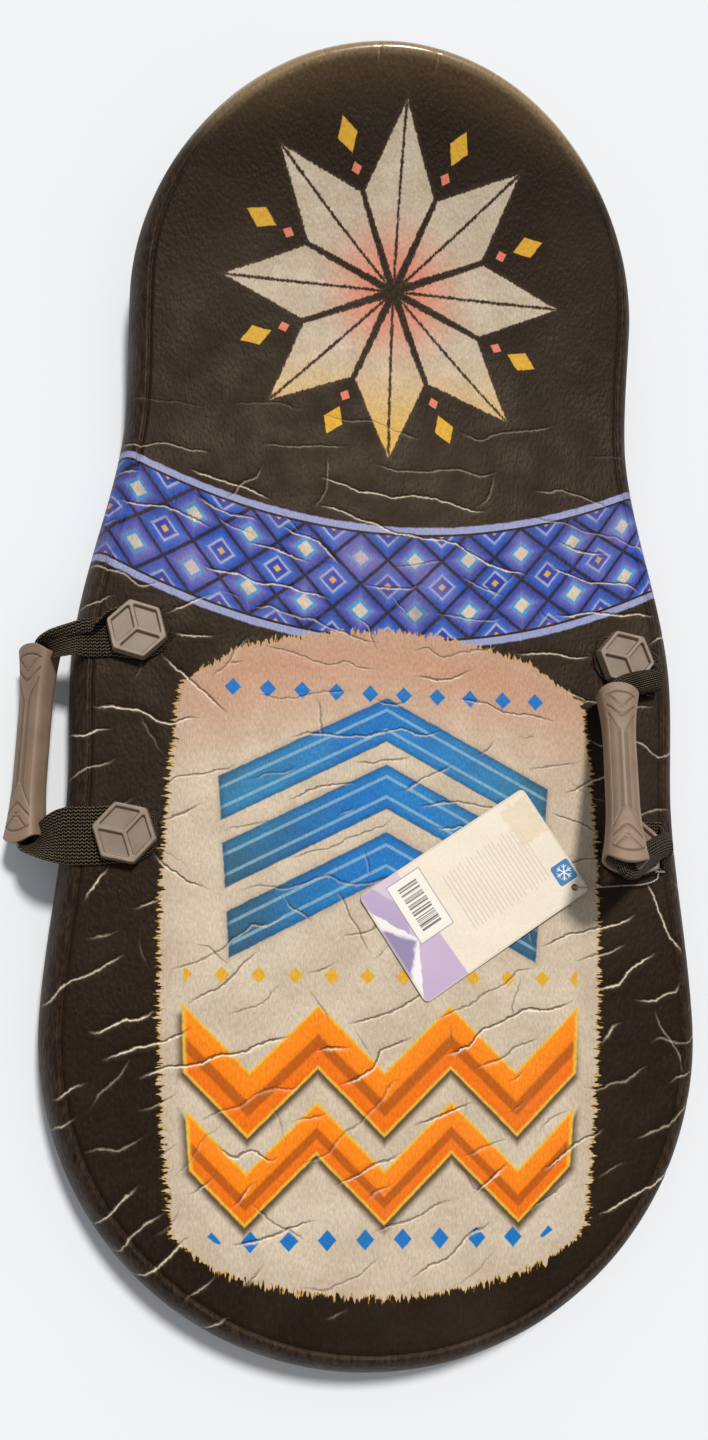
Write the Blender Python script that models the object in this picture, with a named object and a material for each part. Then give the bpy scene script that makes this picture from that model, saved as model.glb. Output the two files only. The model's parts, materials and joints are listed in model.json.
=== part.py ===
# Foam snow sled with a printed deck skin, a slick base and two bolted-on webbing handles.
# Metres, +Z up. +Y points to the upturned nose and +X to the rider's right. The origin is on the
# flat underside, halfway along the length and on the centre line.

from math import cos, pi, radians, sin, sqrt

import bmesh
import bpy
from mathutils import Matrix, Vector

for old in list(bpy.data.objects):
    bpy.data.objects.remove(old, do_unlink=True)

# Board outline, measured from the tail. It is widest at the hip, and each inset is how much
# narrower one side is further along
LENGTH = 0.914
WIDTH = 0.448
TAIL_DEPTH = 0.215
WAIST_FROM_TAIL = 0.360
WAIST_INSET = 0.0075
SHOULDER_FROM_TAIL = 0.451
SHOULDER_INSET = 0.0035
NECK_FROM_TAIL = 0.648
NECK_INSET = 0.0300
HEAD_FROM_TAIL = 0.738
HEAD_INSET = 0.0280

# Board section and its upturned nose
THICKNESS = 0.045
WIDEST_HEIGHT = 0.018
CHINE_WIDTH = 0.014
BEVEL_WIDTH = 0.0150
BEVEL_FULLNESS = 1.7
NOSE_RISE = 0.084
RISE_FROM_TAIL = 0.620

# Skins round the foam, and the pressed groove where the deck meets the rail
DECK_SKIN = 0.0020
SLICK = 0.0025
CLEARANCE = 0.0003
SEAM_TURN = radians(55)
GROOVE_WIDTH = 0.0024
GROOVE_DEPTH = 0.0008

# Handle anchors: four hexagonal caps clamp the webbing against round plugs in the base
ANCHOR_FRONT_FROM_TAIL = 0.470
ANCHOR_SPACING = 0.138
ANCHOR_INSET = 0.0490
CAP_ACROSS_FLATS = 0.038
CAP_HEIGHT = 0.0075
CAP_DRAFT = 0.0012
CAP_RIB = 0.0021
CAP_POCKET = 0.0026
POCKET_DRAFT = 0.0006
CAP_EDGE = 0.0005
BOSS_RADIUS = 0.0080
BOSS_FLOOR = 0.0100
STEM_RADIUS = 0.0050
STEM_END_GAP = 0.0040
FLANGE_RADIUS = 0.0150
FLANGE_THICKNESS = 0.0014
SLOT_WIDTH = 0.0030
SLOT_DEPTH = 0.0008

# Webbing, and the two folds that let a handle swing
WEBBING_WIDTH = 0.038
WEBBING_THICKNESS = 0.0020
TAB_END = 0.0225
FOLD_FROM_ANCHOR = 0.0265
LINK_LENGTH = 0.0120
BORE_STRAP_WIDTH = 0.0150
BORE_STRAP_THICKNESS = 0.0040
TURN_RADIUS = 0.0082
NARROWED_SHARE = 0.60
SIDESTEP_SHARE = 0.80
NOSE_TURN_SHARES = (0.85, 0.50, 0.0)

# Hollow moulded grip: widths and thicknesses are full sizes
GRIP_LENGTH = 0.136
GRIP_END_WIDTH = 0.0310
GRIP_WAIST_WIDTH = 0.0210
GRIP_END_THICKNESS = 0.0200
GRIP_WAIST_THICKNESS = 0.0170
GRIP_WALL = 0.0024
GRIP_CROWN = 0.0008
RIM_ARCH = 0.0055
LIP_WIDTH = 0.0032
RELIEF_DEPTH = 0.0008
RELIEF_WALL = 0.0005
CHEVRON_PITCH = 0.0058
CHEVRON_GROOVE = 0.0016
CHEVRON_RAKE = 0.0085
CHEVRON_APEX_FROM_END = 0.0165
CHEVRON_COUNT = 2

# How far each grip stands from its fold, and how far it sinks below the fold when swung out
LEFT_REACH = 0.0275
LEFT_SINK = 0.0215
RIGHT_REACH = 0.0460
RIGHT_SINK = 0.0222
LEFT_LINK_TURN = radians(-3)
LEFT_HANDLE_TURN = radians(0)
RIGHT_LINK_TURN = radians(95)
RIGHT_HANDLE_TURN = radians(180)
LEFT_GRIP_ROLL = radians(40)
RIGHT_GRIP_ROLL = radians(-10)

# Each grip sits nearer the tail than its anchors. The tail end of the right one stands up and leans in
LEFT_GRIP_SHIFT = 0.0080
RIGHT_GRIP_SHIFT = 0.0215
LEFT_GRIP_PITCH = radians(0)
RIGHT_GRIP_PITCH = radians(18)
LEFT_GRIP_YAW = radians(0)
RIGHT_GRIP_YAW = radians(8)

# Swing tag on a thin plastic tie
TAG_LENGTH = 0.138
TAG_WIDTH = 0.083
TAG_THICKNESS = 0.0006
TAG_CORNER = 0.0040
TAG_HOLE_RADIUS = 0.0025
TAG_HOLE_FROM_END = 0.0080
TAG_HOLE_FROM_SIDE = 0.0070
TAG_FROM_CENTRE = 0.0613
TAG_FROM_TAIL = 0.2990
TAG_HEADING = radians(34)
TAG_TILT = radians(1.6)
TIE_DIAMETER = 0.0010
BAR_RADIUS = 0.0008
BAR_LENGTH = 0.0070
BAR_FROM_ANCHOR = (0.0195, -0.0150)
TIE_ROUTE = (
    (0.1935, -0.1413, 0.0484), (0.1915, -0.1455, 0.0485), (0.1820, -0.1490, 0.0486),
    (0.1650, -0.1505, 0.0490), (0.1480, -0.1520, 0.0504), (0.1400, -0.1524, 0.0508),
    (0.1330, -0.1525, 0.0507), (0.1306, -0.1525, 0.0495), (0.1320, -0.1526, 0.0477),
    (0.1380, -0.1530, 0.0470), (0.1430, -0.1528, 0.0476), (0.1470, -0.1512, 0.0486),
)

# Mesh fineness
OUTLINE_STEPS = 8
RAIL_STEPS = 4
CHINE_STEPS = 3
ROUND_STEPS = 18
LEG_STEPS = 8
TURN_STEPS = 4
TIE_STEPS = 2
CORNER_STEPS = 3
BAR_STEPS = 10
OVERRUN = 0.002

HIP_HALF_WIDTH = WIDTH / 2
HEAD_HALF_WIDTH = HIP_HALF_WIDTH - HEAD_INSET
ANCHOR_FROM_CENTRE = HIP_HALF_WIDTH - ANCHOR_INSET
TAIL_Y = -LENGTH / 2
ANCHOR_Y = {"front": TAIL_Y + ANCHOR_FRONT_FROM_TAIL,
            "rear": TAIL_Y + ANCHOR_FRONT_FROM_TAIL - ANCHOR_SPACING}
HANDLE_Y = TAIL_Y + ANCHOR_FRONT_FROM_TAIL - ANCHOR_SPACING / 2
WEBBING_BASE = THICKNESS + CLEARANCE
FOLD_HEIGHT = WEBBING_BASE + WEBBING_THICKNESS / 2
CAP_BASE = WEBBING_BASE + WEBBING_THICKNESS + CLEARANCE
CAP_CORNER = CAP_ACROSS_FLATS / sqrt(3)


def material(name, colour, roughness, metallic=0.0):
    finish = bpy.data.materials.new(name)
    finish.use_nodes = True
    shader = finish.node_tree.nodes["Principled BSDF"]
    shader.inputs["Base Color"].default_value = (*colour, 1.0)
    shader.inputs["Roughness"].default_value = roughness
    shader.inputs["Metallic"].default_value = metallic
    return finish


FOAM = material("white closed-cell foam", (0.80, 0.80, 0.78), 0.85)
PRINT = material("printed deck skin", (0.34, 0.27, 0.22), 0.50)
SLICK_PLASTIC = material("black slick sheet", (0.02, 0.02, 0.022), 0.30)
CAP_PLASTIC = material("warm grey moulded plastic", (0.23, 0.20, 0.17), 0.45)
PLUG_PLASTIC = material("dark moulded plastic", (0.05, 0.05, 0.05), 0.50)
WEBBING_CLOTH = material("black ribbed webbing", (0.012, 0.011, 0.010), 0.85)
GRIP_PLASTIC = material("grey grip plastic", (0.20, 0.18, 0.16), 0.50)
CARD = material("cream card", (0.72, 0.66, 0.58), 0.55)
CLEAR_PLASTIC = material("translucent tie plastic", (0.80, 0.80, 0.80), 0.25)


def place(name, bm, finish, parent=None, location=(0, 0, 0), turn=None):
    bmesh.ops.recalc_face_normals(bm, faces=bm.faces)
    mesh = bpy.data.meshes.new(name)
    bm.to_mesh(mesh)
    bm.free()
    mesh.materials.append(finish)
    piece = bpy.data.objects.new(name, mesh)
    bpy.context.collection.objects.link(piece)
    piece.parent = parent
    piece.location = location
    if turn:
        piece.rotation_euler = turn
    return piece


def smooth(piece, angle=radians(35)):
    piece.data.shade_smooth()
    piece.data.set_sharp_from_angle(angle=angle)


def cylinder(name, radius, bottom, top, centre):
    bm = bmesh.new()
    lift = Matrix.Translation((*centre, (bottom + top) / 2))
    bmesh.ops.create_cone(bm, cap_ends=True, segments=ROUND_STEPS, radius1=radius, radius2=radius,
                          depth=top - bottom, matrix=lift)
    return place(name, bm, CAP_PLASTIC)


def hide(tool):
    tool.hide_render = True
    tool.display_type = "WIRE"


def boolean(piece, tool, operation):
    change = piece.modifiers.new(operation.lower(), "BOOLEAN")
    change.operation = operation
    change.solver = "EXACT"
    change.object = tool
    hide(tool)


def loft(bm, rows, close_rows=True, close_ends=False):
    rings = [[bm.verts.new(point) for point in row] for row in rows]
    pairs = list(zip(rings, rings[1:]))
    if close_ends:
        pairs.append((rings[-1], rings[0]))
    count = len(rows[0])
    for near, far in pairs:
        for i in range(count if close_rows else count - 1):
            j = (i + 1) % count
            bm.faces.new((near[i], near[j], far[j], far[i]))
    return rings


def ease(share):
    return share * share * (3 - 2 * share)


def shares(count):
    return [i / count for i in range(count + 1)]


# Right half of the outline from tail tip to nose tip, as (half width, distance from tail)
def half_outline():
    points = []
    for share in shares(2 * OUTLINE_STEPS):
        turn = share * pi / 2
        points.append((HIP_HALF_WIDTH * sin(turn), TAIL_DEPTH * (1 - cos(turn))))
    insets = [(0.0, TAIL_DEPTH), (WAIST_INSET, WAIST_FROM_TAIL), (SHOULDER_INSET, SHOULDER_FROM_TAIL),
              (NECK_INSET, NECK_FROM_TAIL), (HEAD_INSET, HEAD_FROM_TAIL)]
    stations = [(HIP_HALF_WIDTH - inset, along) for inset, along in insets]
    for (width, along), (next_width, next_along) in zip(stations, stations[1:]):
        for share in shares(OUTLINE_STEPS // 2)[1:]:
            points.append((width + (next_width - width) * ease(share),
                           along + (next_along - along) * share))
    for share in shares(2 * OUTLINE_STEPS)[1:]:
        turn = share * pi / 2
        points.append((HEAD_HALF_WIDTH * cos(turn),
                       HEAD_FROM_TAIL + (LENGTH - HEAD_FROM_TAIL) * sin(turn)))
    return points


def outline_with_normals():
    right = half_outline()
    right[0] = (0.0, 0.0)
    right[-1] = (0.0, LENGTH)
    left = [(-width, along) for width, along in reversed(right[1:-1])]
    loop = [Vector((width, TAIL_Y + along)) for width, along in right + left]
    result = []
    for i, point in enumerate(loop):
        run = loop[(i + 1) % len(loop)] - loop[i - 1]
        result.append((point, Vector((-run.y, run.x)).normalized()))
    return result


OUTLINE = outline_with_normals()


def rise(y):
    start = TAIL_Y + RISE_FROM_TAIL
    share = max(0.0, (y - start) / (TAIL_Y + LENGTH - start))
    return NOSE_RISE * share * share


# Rail curves as (inset from the outline, height)
def chine(turn):
    return Vector((CHINE_WIDTH * (1 - sin(turn)), WIDEST_HEIGHT * (1 - cos(turn))))


def bevel(turn):
    power = 2 / BEVEL_FULLNESS
    across = abs(cos(turn)) ** power
    up = abs(sin(turn)) ** power
    return Vector((BEVEL_WIDTH * (1 - across), WIDEST_HEIGHT + (THICKNESS - WIDEST_HEIGHT) * up))


def sample(curve, start, end, count, depth):
    nudge = (end - start) / (8 * count)
    points = []
    for share in shares(count):
        turn = start + (end - start) * share
        run = curve(min(turn + nudge, pi / 2)) - curve(max(turn - nudge, 0.0))
        inward = Vector((run.y, -run.x)).normalized()
        points.append(curve(turn) + inward * depth)
    return points


# A solid swept round the outline from a profile, with its first and last rings filled across
def board_solid(profile):
    bm = bmesh.new()
    rows = []
    for inset, height in profile:
        ring = [point + inward * inset for point, inward in OUTLINE]
        rows.append([Vector((spot.x, spot.y, height + rise(spot.y))) for spot in ring])
    rings = loft(bm, rows)
    count = len(OUTLINE)
    for ring in (rings[0], rings[-1]):
        for i in range(count // 2):
            corners = [ring[i], ring[i + 1], ring[(count - i - 1) % count], ring[(count - i) % count]]
            distinct = list(dict.fromkeys(corners))
            bm.faces.new(distinct)
    return bm


def rail_points(depth, start, include_chine_from):
    lower = sample(chine, include_chine_from, pi / 2, 2, depth)
    return lower + sample(bevel, start, pi / 2, RAIL_STEPS, depth)[1:]


SEAM_GAP_TURN = CLEARANCE / WIDEST_HEIGHT


def make_deck_skin():
    outer = rail_points(0.0, 0.0, SEAM_TURN + SEAM_GAP_TURN)
    groove = [Vector((BEVEL_WIDTH + GROOVE_WIDTH / 2, THICKNESS - GROOVE_DEPTH)),
              Vector((BEVEL_WIDTH + GROOVE_WIDTH, THICKNESS))]
    inner = rail_points(DECK_SKIN, 0.0, SEAM_TURN + SEAM_GAP_TURN)
    inner.append(Vector((BEVEL_WIDTH + GROOVE_WIDTH, THICKNESS - DECK_SKIN)))
    profile = list(reversed(outer + groove)) + inner
    skin = place("deck_skin", board_solid(profile), PRINT)
    smooth(skin)
    return skin


def make_foam_core():
    lower = sample(chine, 0.0, SEAM_TURN, CHINE_STEPS, SLICK + CLEARANCE)
    upper = rail_points(DECK_SKIN + CLEARANCE, 0.0, SEAM_TURN + SEAM_GAP_TURN)
    core = place("foam_core", board_solid(lower + upper), FOAM)
    smooth(core)
    return core


def make_slick():
    outer = sample(chine, 0.0, SEAM_TURN, CHINE_STEPS, 0.0)
    inner = sample(chine, 0.0, SEAM_TURN, CHINE_STEPS, SLICK)
    sheet = place("slick_base", board_solid(inner + list(reversed(outer))), SLICK_PLASTIC)
    smooth(sheet)
    return sheet


deck_skin = make_deck_skin()
foam_core = make_foam_core()
slick_base = make_slick()


def turned(bm, levels, centre=(0, 0)):
    rows = [[Vector((centre[0] + radius * cos(2 * pi * share), centre[1] + radius * sin(2 * pi * share),
                     height)) for share in shares(ROUND_STEPS)[:-1]] for height, radius in levels]
    rings = loft(bm, rows)
    bm.faces.new(rings[0])
    bm.faces.new(rings[-1])


# One cutter holds the four anchors' holes: bores through skin and foam, or plug seats in the base
def anchor_cutter(name, levels):
    bm = bmesh.new()
    for side in (-1, 1):
        for y in ANCHOR_Y.values():
            turned(bm, levels, (side * ANCHOR_FROM_CENTRE, y))
    return place(name, bm, CAP_PLASTIC)


bores = anchor_cutter("anchor_bores", [(SLICK / 2, BOSS_RADIUS + CLEARANCE),
                                       (THICKNESS + OVERRUN, BOSS_RADIUS + CLEARANCE)])
boolean(deck_skin, bores, "DIFFERENCE")
boolean(foam_core, bores, "DIFFERENCE")
plug_seats = anchor_cutter("plug_seats", [(-OVERRUN, FLANGE_RADIUS + CLEARANCE),
                                          (FLANGE_THICKNESS + CLEARANCE, FLANGE_RADIUS + CLEARANCE),
                                          (FLANGE_THICKNESS + CLEARANCE, STEM_RADIUS + CLEARANCE),
                                          (SLICK + OVERRUN, STEM_RADIUS + CLEARANCE)])
boolean(slick_base, plug_seats, "DIFFERENCE")


# Hexagonal cap with a raised rim, three ribs and three sunk rhombic pockets, on a hollow boss
def make_cap(name, spot, turn):
    bm = bmesh.new()
    levels = [(0.0, CAP_CORNER), (CAP_HEIGHT, CAP_CORNER - CAP_DRAFT)]
    rows = [[Vector((radius * cos(i * pi / 3), radius * sin(i * pi / 3), height)) for i in range(6)]
            for height, radius in levels]
    base, top = loft(bm, rows)
    bm.faces.new(base)
    centre = bm.verts.new((0, 0, CAP_HEIGHT))
    panels = [bm.faces.new((centre, top[i], top[(i + 1) % 6], top[(i + 2) % 6])) for i in (0, 2, 4)]
    bmesh.ops.inset_individual(bm, faces=panels, thickness=CAP_RIB)
    bmesh.ops.inset_individual(bm, faces=panels, thickness=POCKET_DRAFT)
    bmesh.ops.translate(bm, verts=list({v for f in panels for v in f.verts}), vec=(0, 0, -CAP_POCKET))
    cap = place(name, bm, CAP_PLASTIC, location=(*spot, CAP_BASE), turn=(0, 0, turn))
    soften = cap.modifiers.new("edges", "BEVEL")
    soften.width = CAP_EDGE
    soften.segments = 1
    soften.limit_method = "ANGLE"
    boss = cylinder(f"{name}_boss", BOSS_RADIUS, BOSS_FLOOR, CAP_BASE + CAP_POCKET, spot)
    boolean(cap, boss, "UNION")
    socket = cylinder(f"{name}_socket", STEM_RADIUS + CLEARANCE, BOSS_FLOOR - OVERRUN,
                      CAP_BASE + CAP_POCKET / 2, spot)
    boolean(cap, socket, "DIFFERENCE")
    smooth(cap)


# Round plug with a coin slot, whose stem runs up inside the cap's boss
def make_plug(name, spot, turn):
    bm = bmesh.new()
    turned(bm, [(0.0, FLANGE_RADIUS), (FLANGE_THICKNESS, FLANGE_RADIUS),
                (FLANGE_THICKNESS, STEM_RADIUS), (CAP_BASE - STEM_END_GAP, STEM_RADIUS)])
    plug = place(name, bm, PLUG_PLASTIC, location=(*spot, 0))
    cut = bmesh.new()
    bmesh.ops.create_cube(cut, size=1.0)
    slot = place(f"{name}_slot", cut, PLUG_PLASTIC, location=(*spot, 0), turn=(0, 0, turn))
    slot.scale = (FLANGE_RADIUS, SLOT_WIDTH, 2 * SLOT_DEPTH)
    boolean(plug, slot, "DIFFERENCE")
    smooth(plug)


# Fixed end of the webbing, with a round end inboard of its cap and a bore for the boss
def make_tab(name, spot, side):
    bm = bmesh.new()
    half = WEBBING_WIDTH / 2
    end = FOLD_FROM_ANCHOR - WEBBING_THICKNESS / 2 - CLEARANCE
    shift = TAB_END - half
    outline = [Vector((side * end, -half)), Vector((side * end, half))]
    for share in shares(ROUND_STEPS // 2):
        turn = pi / 2 + share * pi
        outline.append(Vector((side * (half * cos(turn) - shift), half * sin(turn))))
    rows = [[Vector((point.x, point.y, height)) for point in outline]
            for height in (0.0, WEBBING_THICKNESS)]
    bottom, top = loft(bm, rows)
    bm.faces.new(bottom)
    bm.faces.new(top)
    tab = place(name, bm, WEBBING_CLOTH, location=(*spot, WEBBING_BASE))
    bore = cylinder(f"{name}_bore", BOSS_RADIUS + CLEARANCE, WEBBING_BASE - OVERRUN,
                    WEBBING_BASE + WEBBING_THICKNESS + OVERRUN, spot)
    boolean(tab, bore, "DIFFERENCE")


# A strip swept along a route. Frames hold a point, the way its width runs, and its two sizes
def strip(frames):
    bm = bmesh.new()
    rows = []
    for i, (point, across, width, thickness) in enumerate(frames):
        run = frames[min(i + 1, len(frames) - 1)][0] - frames[max(i - 1, 0)][0]
        over = run.cross(across).normalized()
        rows.append([point + across * (a * width / 2) + over * (b * thickness / 2)
                     for a, b in ((1, 1), (-1, 1), (-1, -1), (1, -1))])
    rings = loft(bm, rows)
    bm.faces.new(rings[0])
    bm.faces.new(rings[-1])
    return bm


# Frames that round the strip's start about its fold, so that it turns there without touching
def nose_frames(leg):
    half = WEBBING_THICKNESS / 2
    frames = []
    for share in NOSE_TURN_SHARES:
        turn = share * pi / 2
        frames.append((Vector((-half * sin(turn), leg, 0)), Vector((0, 1, 0)), WEBBING_WIDTH,
                       2 * half * cos(turn)))
    return frames


def mirrored(frames, side, end=1):
    flip = Vector((side, end, 1))
    return [(point * flip, across * flip, width, thickness) for point, across, width, thickness in frames]


def make_link(name, parent, side, leg):
    end = Vector((LINK_LENGTH - WEBBING_THICKNESS / 2 - CLEARANCE, leg, 0))
    frames = nose_frames(leg) + [(end, Vector((0, 1, 0)), WEBBING_WIDTH, WEBBING_THICKNESS)]
    place(name, strip(mirrored(frames, side)), WEBBING_CLOTH, parent=parent)


# Half of the webbing loop: from the fold it narrows and sinks, then turns and twists into the grip
def leg_frames(reach, sink, end, roll):
    leg = ANCHOR_SPACING / 2
    turn_start = Vector((reach - TURN_RADIUS, end + TURN_RADIUS))
    frames = []
    for share in shares(LEG_STEPS):
        narrowing = ease(min(1.0, share / NARROWED_SHARE))
        width = WEBBING_WIDTH + (BORE_STRAP_WIDTH - WEBBING_WIDTH) * narrowing
        thickness = WEBBING_THICKNESS + (BORE_STRAP_THICKNESS - WEBBING_THICKNESS) * narrowing
        sideways = ease(min(1.0, share / SIDESTEP_SHARE))
        spot = Vector((turn_start.x * share, leg + (turn_start.y - leg) * sideways, -sink * ease(share)))
        frames.append((spot, Vector((0, 1, 0)), width, thickness))
    for share in shares(TURN_STEPS)[1:]:
        turn = share * pi / 2
        spot = Vector((turn_start.x + TURN_RADIUS * sin(turn),
                       turn_start.y - TURN_RADIUS * (1 - cos(turn)), -sink))
        twist = roll * ease(share)
        across = Vector((sin(turn) * cos(twist), cos(turn) * cos(twist), -sin(twist)))
        frames.append((spot, across, BORE_STRAP_WIDTH, BORE_STRAP_THICKNESS))
    return frames


def make_loop(name, parent, side, reach, sink, roll, shift, pitch, yaw):
    nose = nose_frames(ANCHOR_SPACING / 2)
    along = GRIP_LENGTH / 2 * cos(pitch) * cos(yaw)
    lean = GRIP_LENGTH / 2 * cos(pitch) * sin(yaw)
    drop = GRIP_LENGTH / 2 * sin(pitch)
    front = nose + leg_frames(reach - lean, sink - drop, along - shift, roll)[1:]
    rear = nose + leg_frames(reach + lean, sink + drop, along + shift, roll)[1:]
    frames = mirrored(front, side) + mirrored(rear, side, -1)[::-1]
    place(name, strip(frames), WEBBING_CLOTH, parent=parent)


# Grip section as shares of its half width and half thickness, starting on the carved face
FACE_SHARES = (-0.82, -0.72, -0.66, -0.27, -0.20, 0.0, 0.20, 0.27, 0.66, 0.72, 0.82)
EDGE_SHARES = ((0.95, 0.93), (1.0, 0.66), (1.0, -0.66), (0.95, -0.93), (0.82, -1.0), (0.0, -1.0),
               (-0.82, -1.0), (-0.95, -0.93), (-1.0, -0.66), (-1.0, 0.66), (-0.95, 0.93))
SPINE_SHARE = 0.25
FRAME_SHARE = 0.70
FLARE_START_SHARE = 0.30
BORE_ROW_SHARES = (0.25, 0.50, 0.75)


def flare(y):
    share = abs(y) / (GRIP_LENGTH / 2)
    grown = max(0.0, (share - FLARE_START_SHARE) / (1 - FLARE_START_SHARE))
    return grown * grown


def grip_half_sizes(y, shrink):
    grown = flare(y)
    wide = GRIP_WAIST_WIDTH + (GRIP_END_WIDTH - GRIP_WAIST_WIDTH) * grown
    thick = GRIP_WAIST_THICKNESS + (GRIP_END_THICKNESS - GRIP_WAIST_THICKNESS) * grown
    return wide / 2 - shrink, thick / 2 - shrink


# Rows of the carved face for one half, from the rim inwards: (apex from end, rake, kind)
def grip_rows():
    rows = [(0.0, -RIM_ARCH, "flush"), (LIP_WIDTH, -RIM_ARCH, "flush"),
            (LIP_WIDTH + RELIEF_WALL, -RIM_ARCH, "sunk")]
    apex = CHEVRON_APEX_FROM_END
    for _ in range(CHEVRON_COUNT):
        ridge = CHEVRON_PITCH - CHEVRON_GROOVE
        rows.append((apex, CHEVRON_RAKE, "sunk"))
        rows.append((apex + RELIEF_WALL, CHEVRON_RAKE, "flush"))
        rows.append((apex + ridge, CHEVRON_RAKE, "flush"))
        rows.append((apex + ridge + RELIEF_WALL, CHEVRON_RAKE, "sunk"))
        apex += CHEVRON_PITCH
    rows.append((apex, CHEVRON_RAKE, "sunk"))
    rows.append((apex + RELIEF_WALL, CHEVRON_RAKE, "flush"))
    rows.append((apex + CHEVRON_PITCH / 2, CHEVRON_RAKE, "flush"))
    rows.append((apex + CHEVRON_PITCH / 2 + RELIEF_WALL, CHEVRON_RAKE, "channel"))
    return rows


def grip_ring(apex_from_end, rake, kind, end, shrink):
    ring = []
    half = GRIP_LENGTH / 2
    guess = half - apex_from_end
    across, deep = grip_half_sizes(guess, shrink)
    for u_share, w_share in [(share, 1.0) for share in FACE_SHARES] + list(EDGE_SHARES):
        bend = min(abs(u_share), 1.0)
        lean = bend * bend if rake < 0 else bend
        y = end * (half - apex_from_end + rake * lean)
        u = across * u_share
        w = deep * w_share
        on_face = w_share == 1.0
        if on_face:
            w += GRIP_CROWN * (1 - (u_share / FACE_SHARES[-1]) ** 2)
            sunk = abs(u_share) < FRAME_SHARE and (
                kind == "sunk" or kind == "channel" and abs(u_share) > SPINE_SHARE)
            if sunk and shrink == 0:
                w -= RELIEF_DEPTH
        ring.append(Vector((u, y, w)))
    return ring


# The grip is rolled about its own length, then pitched and yawed. Its carved face looks up, also
# when it lies folded in
def make_grip(name, parent, side, reach, sink, roll, shift, pitch, yaw, folded):
    bm = bmesh.new()
    rows = grip_rows()
    outer = [grip_ring(apex, rake, kind, 1, 0) for apex, rake, kind in rows]
    outer += [grip_ring(apex, rake, kind, -1, 0) for apex, rake, kind in reversed(rows)]
    bore_rows = [rows[0]] + [(GRIP_LENGTH / 2 * share, 0.0, "flush") for share in BORE_ROW_SHARES]
    inner = [grip_ring(apex, rake, kind, -1, GRIP_WALL) for apex, rake, kind in bore_rows]
    inner += [grip_ring(apex, rake, kind, 1, GRIP_WALL) for apex, rake, kind in reversed(bore_rows)]
    loft(bm, outer + inner, close_ends=True)
    if side < 0:
        bmesh.ops.scale(bm, vec=(-1, 1, 1), verts=bm.verts)
    grip = place(name, bm, GRIP_PLASTIC, parent=parent, location=(side * reach, -shift, -sink))
    grip.rotation_mode = "YXZ"
    grip.rotation_euler = (pitch, side * (roll + (pi if folded else 0)), side * yaw)
    smooth(grip, radians(30))


def guide(name, parent, location, turn):
    frame = bpy.data.objects.new(name, None)
    bpy.context.collection.objects.link(frame)
    frame.parent = parent
    frame.location = location
    frame.rotation_euler = (0, turn, 0)
    return frame


# One handle: two links on the inner fold, then the webbing loop and its grip on the outer fold
def make_handle(label, side, reach, sink, link_turn, handle_turn, roll, shift, pitch, yaw):
    fold = (side * (ANCHOR_FROM_CENTRE + FOLD_FROM_ANCHOR), HANDLE_Y, FOLD_HEIGHT)
    inner = guide(f"{label}_inner_fold", None, fold, -side * link_turn)
    outer = guide(f"{label}_outer_fold", inner, (side * LINK_LENGTH, 0, 0),
                  -side * (handle_turn - link_turn))
    for end, sign in (("front", 1), ("rear", -1)):
        make_link(f"{label}_strap_link_{end}", inner, side, sign * ANCHOR_SPACING / 2)
    make_loop(f"{label}_strap_loop", outer, side, reach, sink, roll, shift, pitch, yaw)
    make_grip(f"{label}_grip", outer, side, reach, sink, roll, shift, pitch, yaw, handle_turn > pi / 2)


CAP_TURNS = {("left", "front"): radians(15), ("left", "rear"): radians(-10),
             ("right", "front"): radians(25), ("right", "rear"): radians(5)}

for label, side in (("left", -1), ("right", 1)):
    for end in ("front", "rear"):
        spot = (side * ANCHOR_FROM_CENTRE, ANCHOR_Y[end])
        anchor_turn = CAP_TURNS[label, end]
        make_cap(f"{label}_{end}_cap", spot, anchor_turn)
        make_plug(f"{label}_{end}_plug", spot, anchor_turn)
        make_tab(f"{label}_{end}_strap_tab", spot, side)

make_handle("left", -1, LEFT_REACH, LEFT_SINK, LEFT_LINK_TURN, LEFT_HANDLE_TURN, LEFT_GRIP_ROLL,
            LEFT_GRIP_SHIFT, LEFT_GRIP_PITCH, LEFT_GRIP_YAW)
make_handle("right", 1, RIGHT_REACH, RIGHT_SINK, RIGHT_LINK_TURN, RIGHT_HANDLE_TURN, RIGHT_GRIP_ROLL,
            RIGHT_GRIP_SHIFT, RIGHT_GRIP_PITCH, RIGHT_GRIP_YAW)


# Card with round corners, tilted up a little by its tie, and a hole at its tied corner
def make_tag():
    bm = bmesh.new()
    outline = []
    for corner, (x_side, y_side) in enumerate(((1, 1), (-1, 1), (-1, -1), (1, -1))):
        middle = Vector((x_side * (TAG_LENGTH / 2 - TAG_CORNER), y_side * (TAG_WIDTH / 2 - TAG_CORNER)))
        for share in shares(CORNER_STEPS):
            turn = (corner + share) * pi / 2
            outline.append(middle + Vector((cos(turn), sin(turn))) * TAG_CORNER)
    rows = [[Vector((point.x, point.y, height)) for point in outline] for height in (0, TAG_THICKNESS)]
    bottom, top = loft(bm, rows)
    bm.faces.new(bottom)
    bm.faces.new(top)
    lift = TAG_LENGTH / 2 * sin(TAG_TILT)
    seat = Vector((TAG_FROM_CENTRE, TAIL_Y + TAG_FROM_TAIL, THICKNESS + CLEARANCE + lift))
    tag = place("swing_tag", bm, CARD, location=seat, turn=(0, -TAG_TILT, TAG_HEADING))
    hole = cylinder("tag_hole", TAG_HOLE_RADIUS, -OVERRUN, TAG_THICKNESS + OVERRUN,
                    (TAG_LENGTH / 2 - TAG_HOLE_FROM_END, TAG_HOLE_FROM_SIDE - TAG_WIDTH / 2))
    hole.parent = tag
    boolean(tag, hole, "DIFFERENCE")


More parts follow.
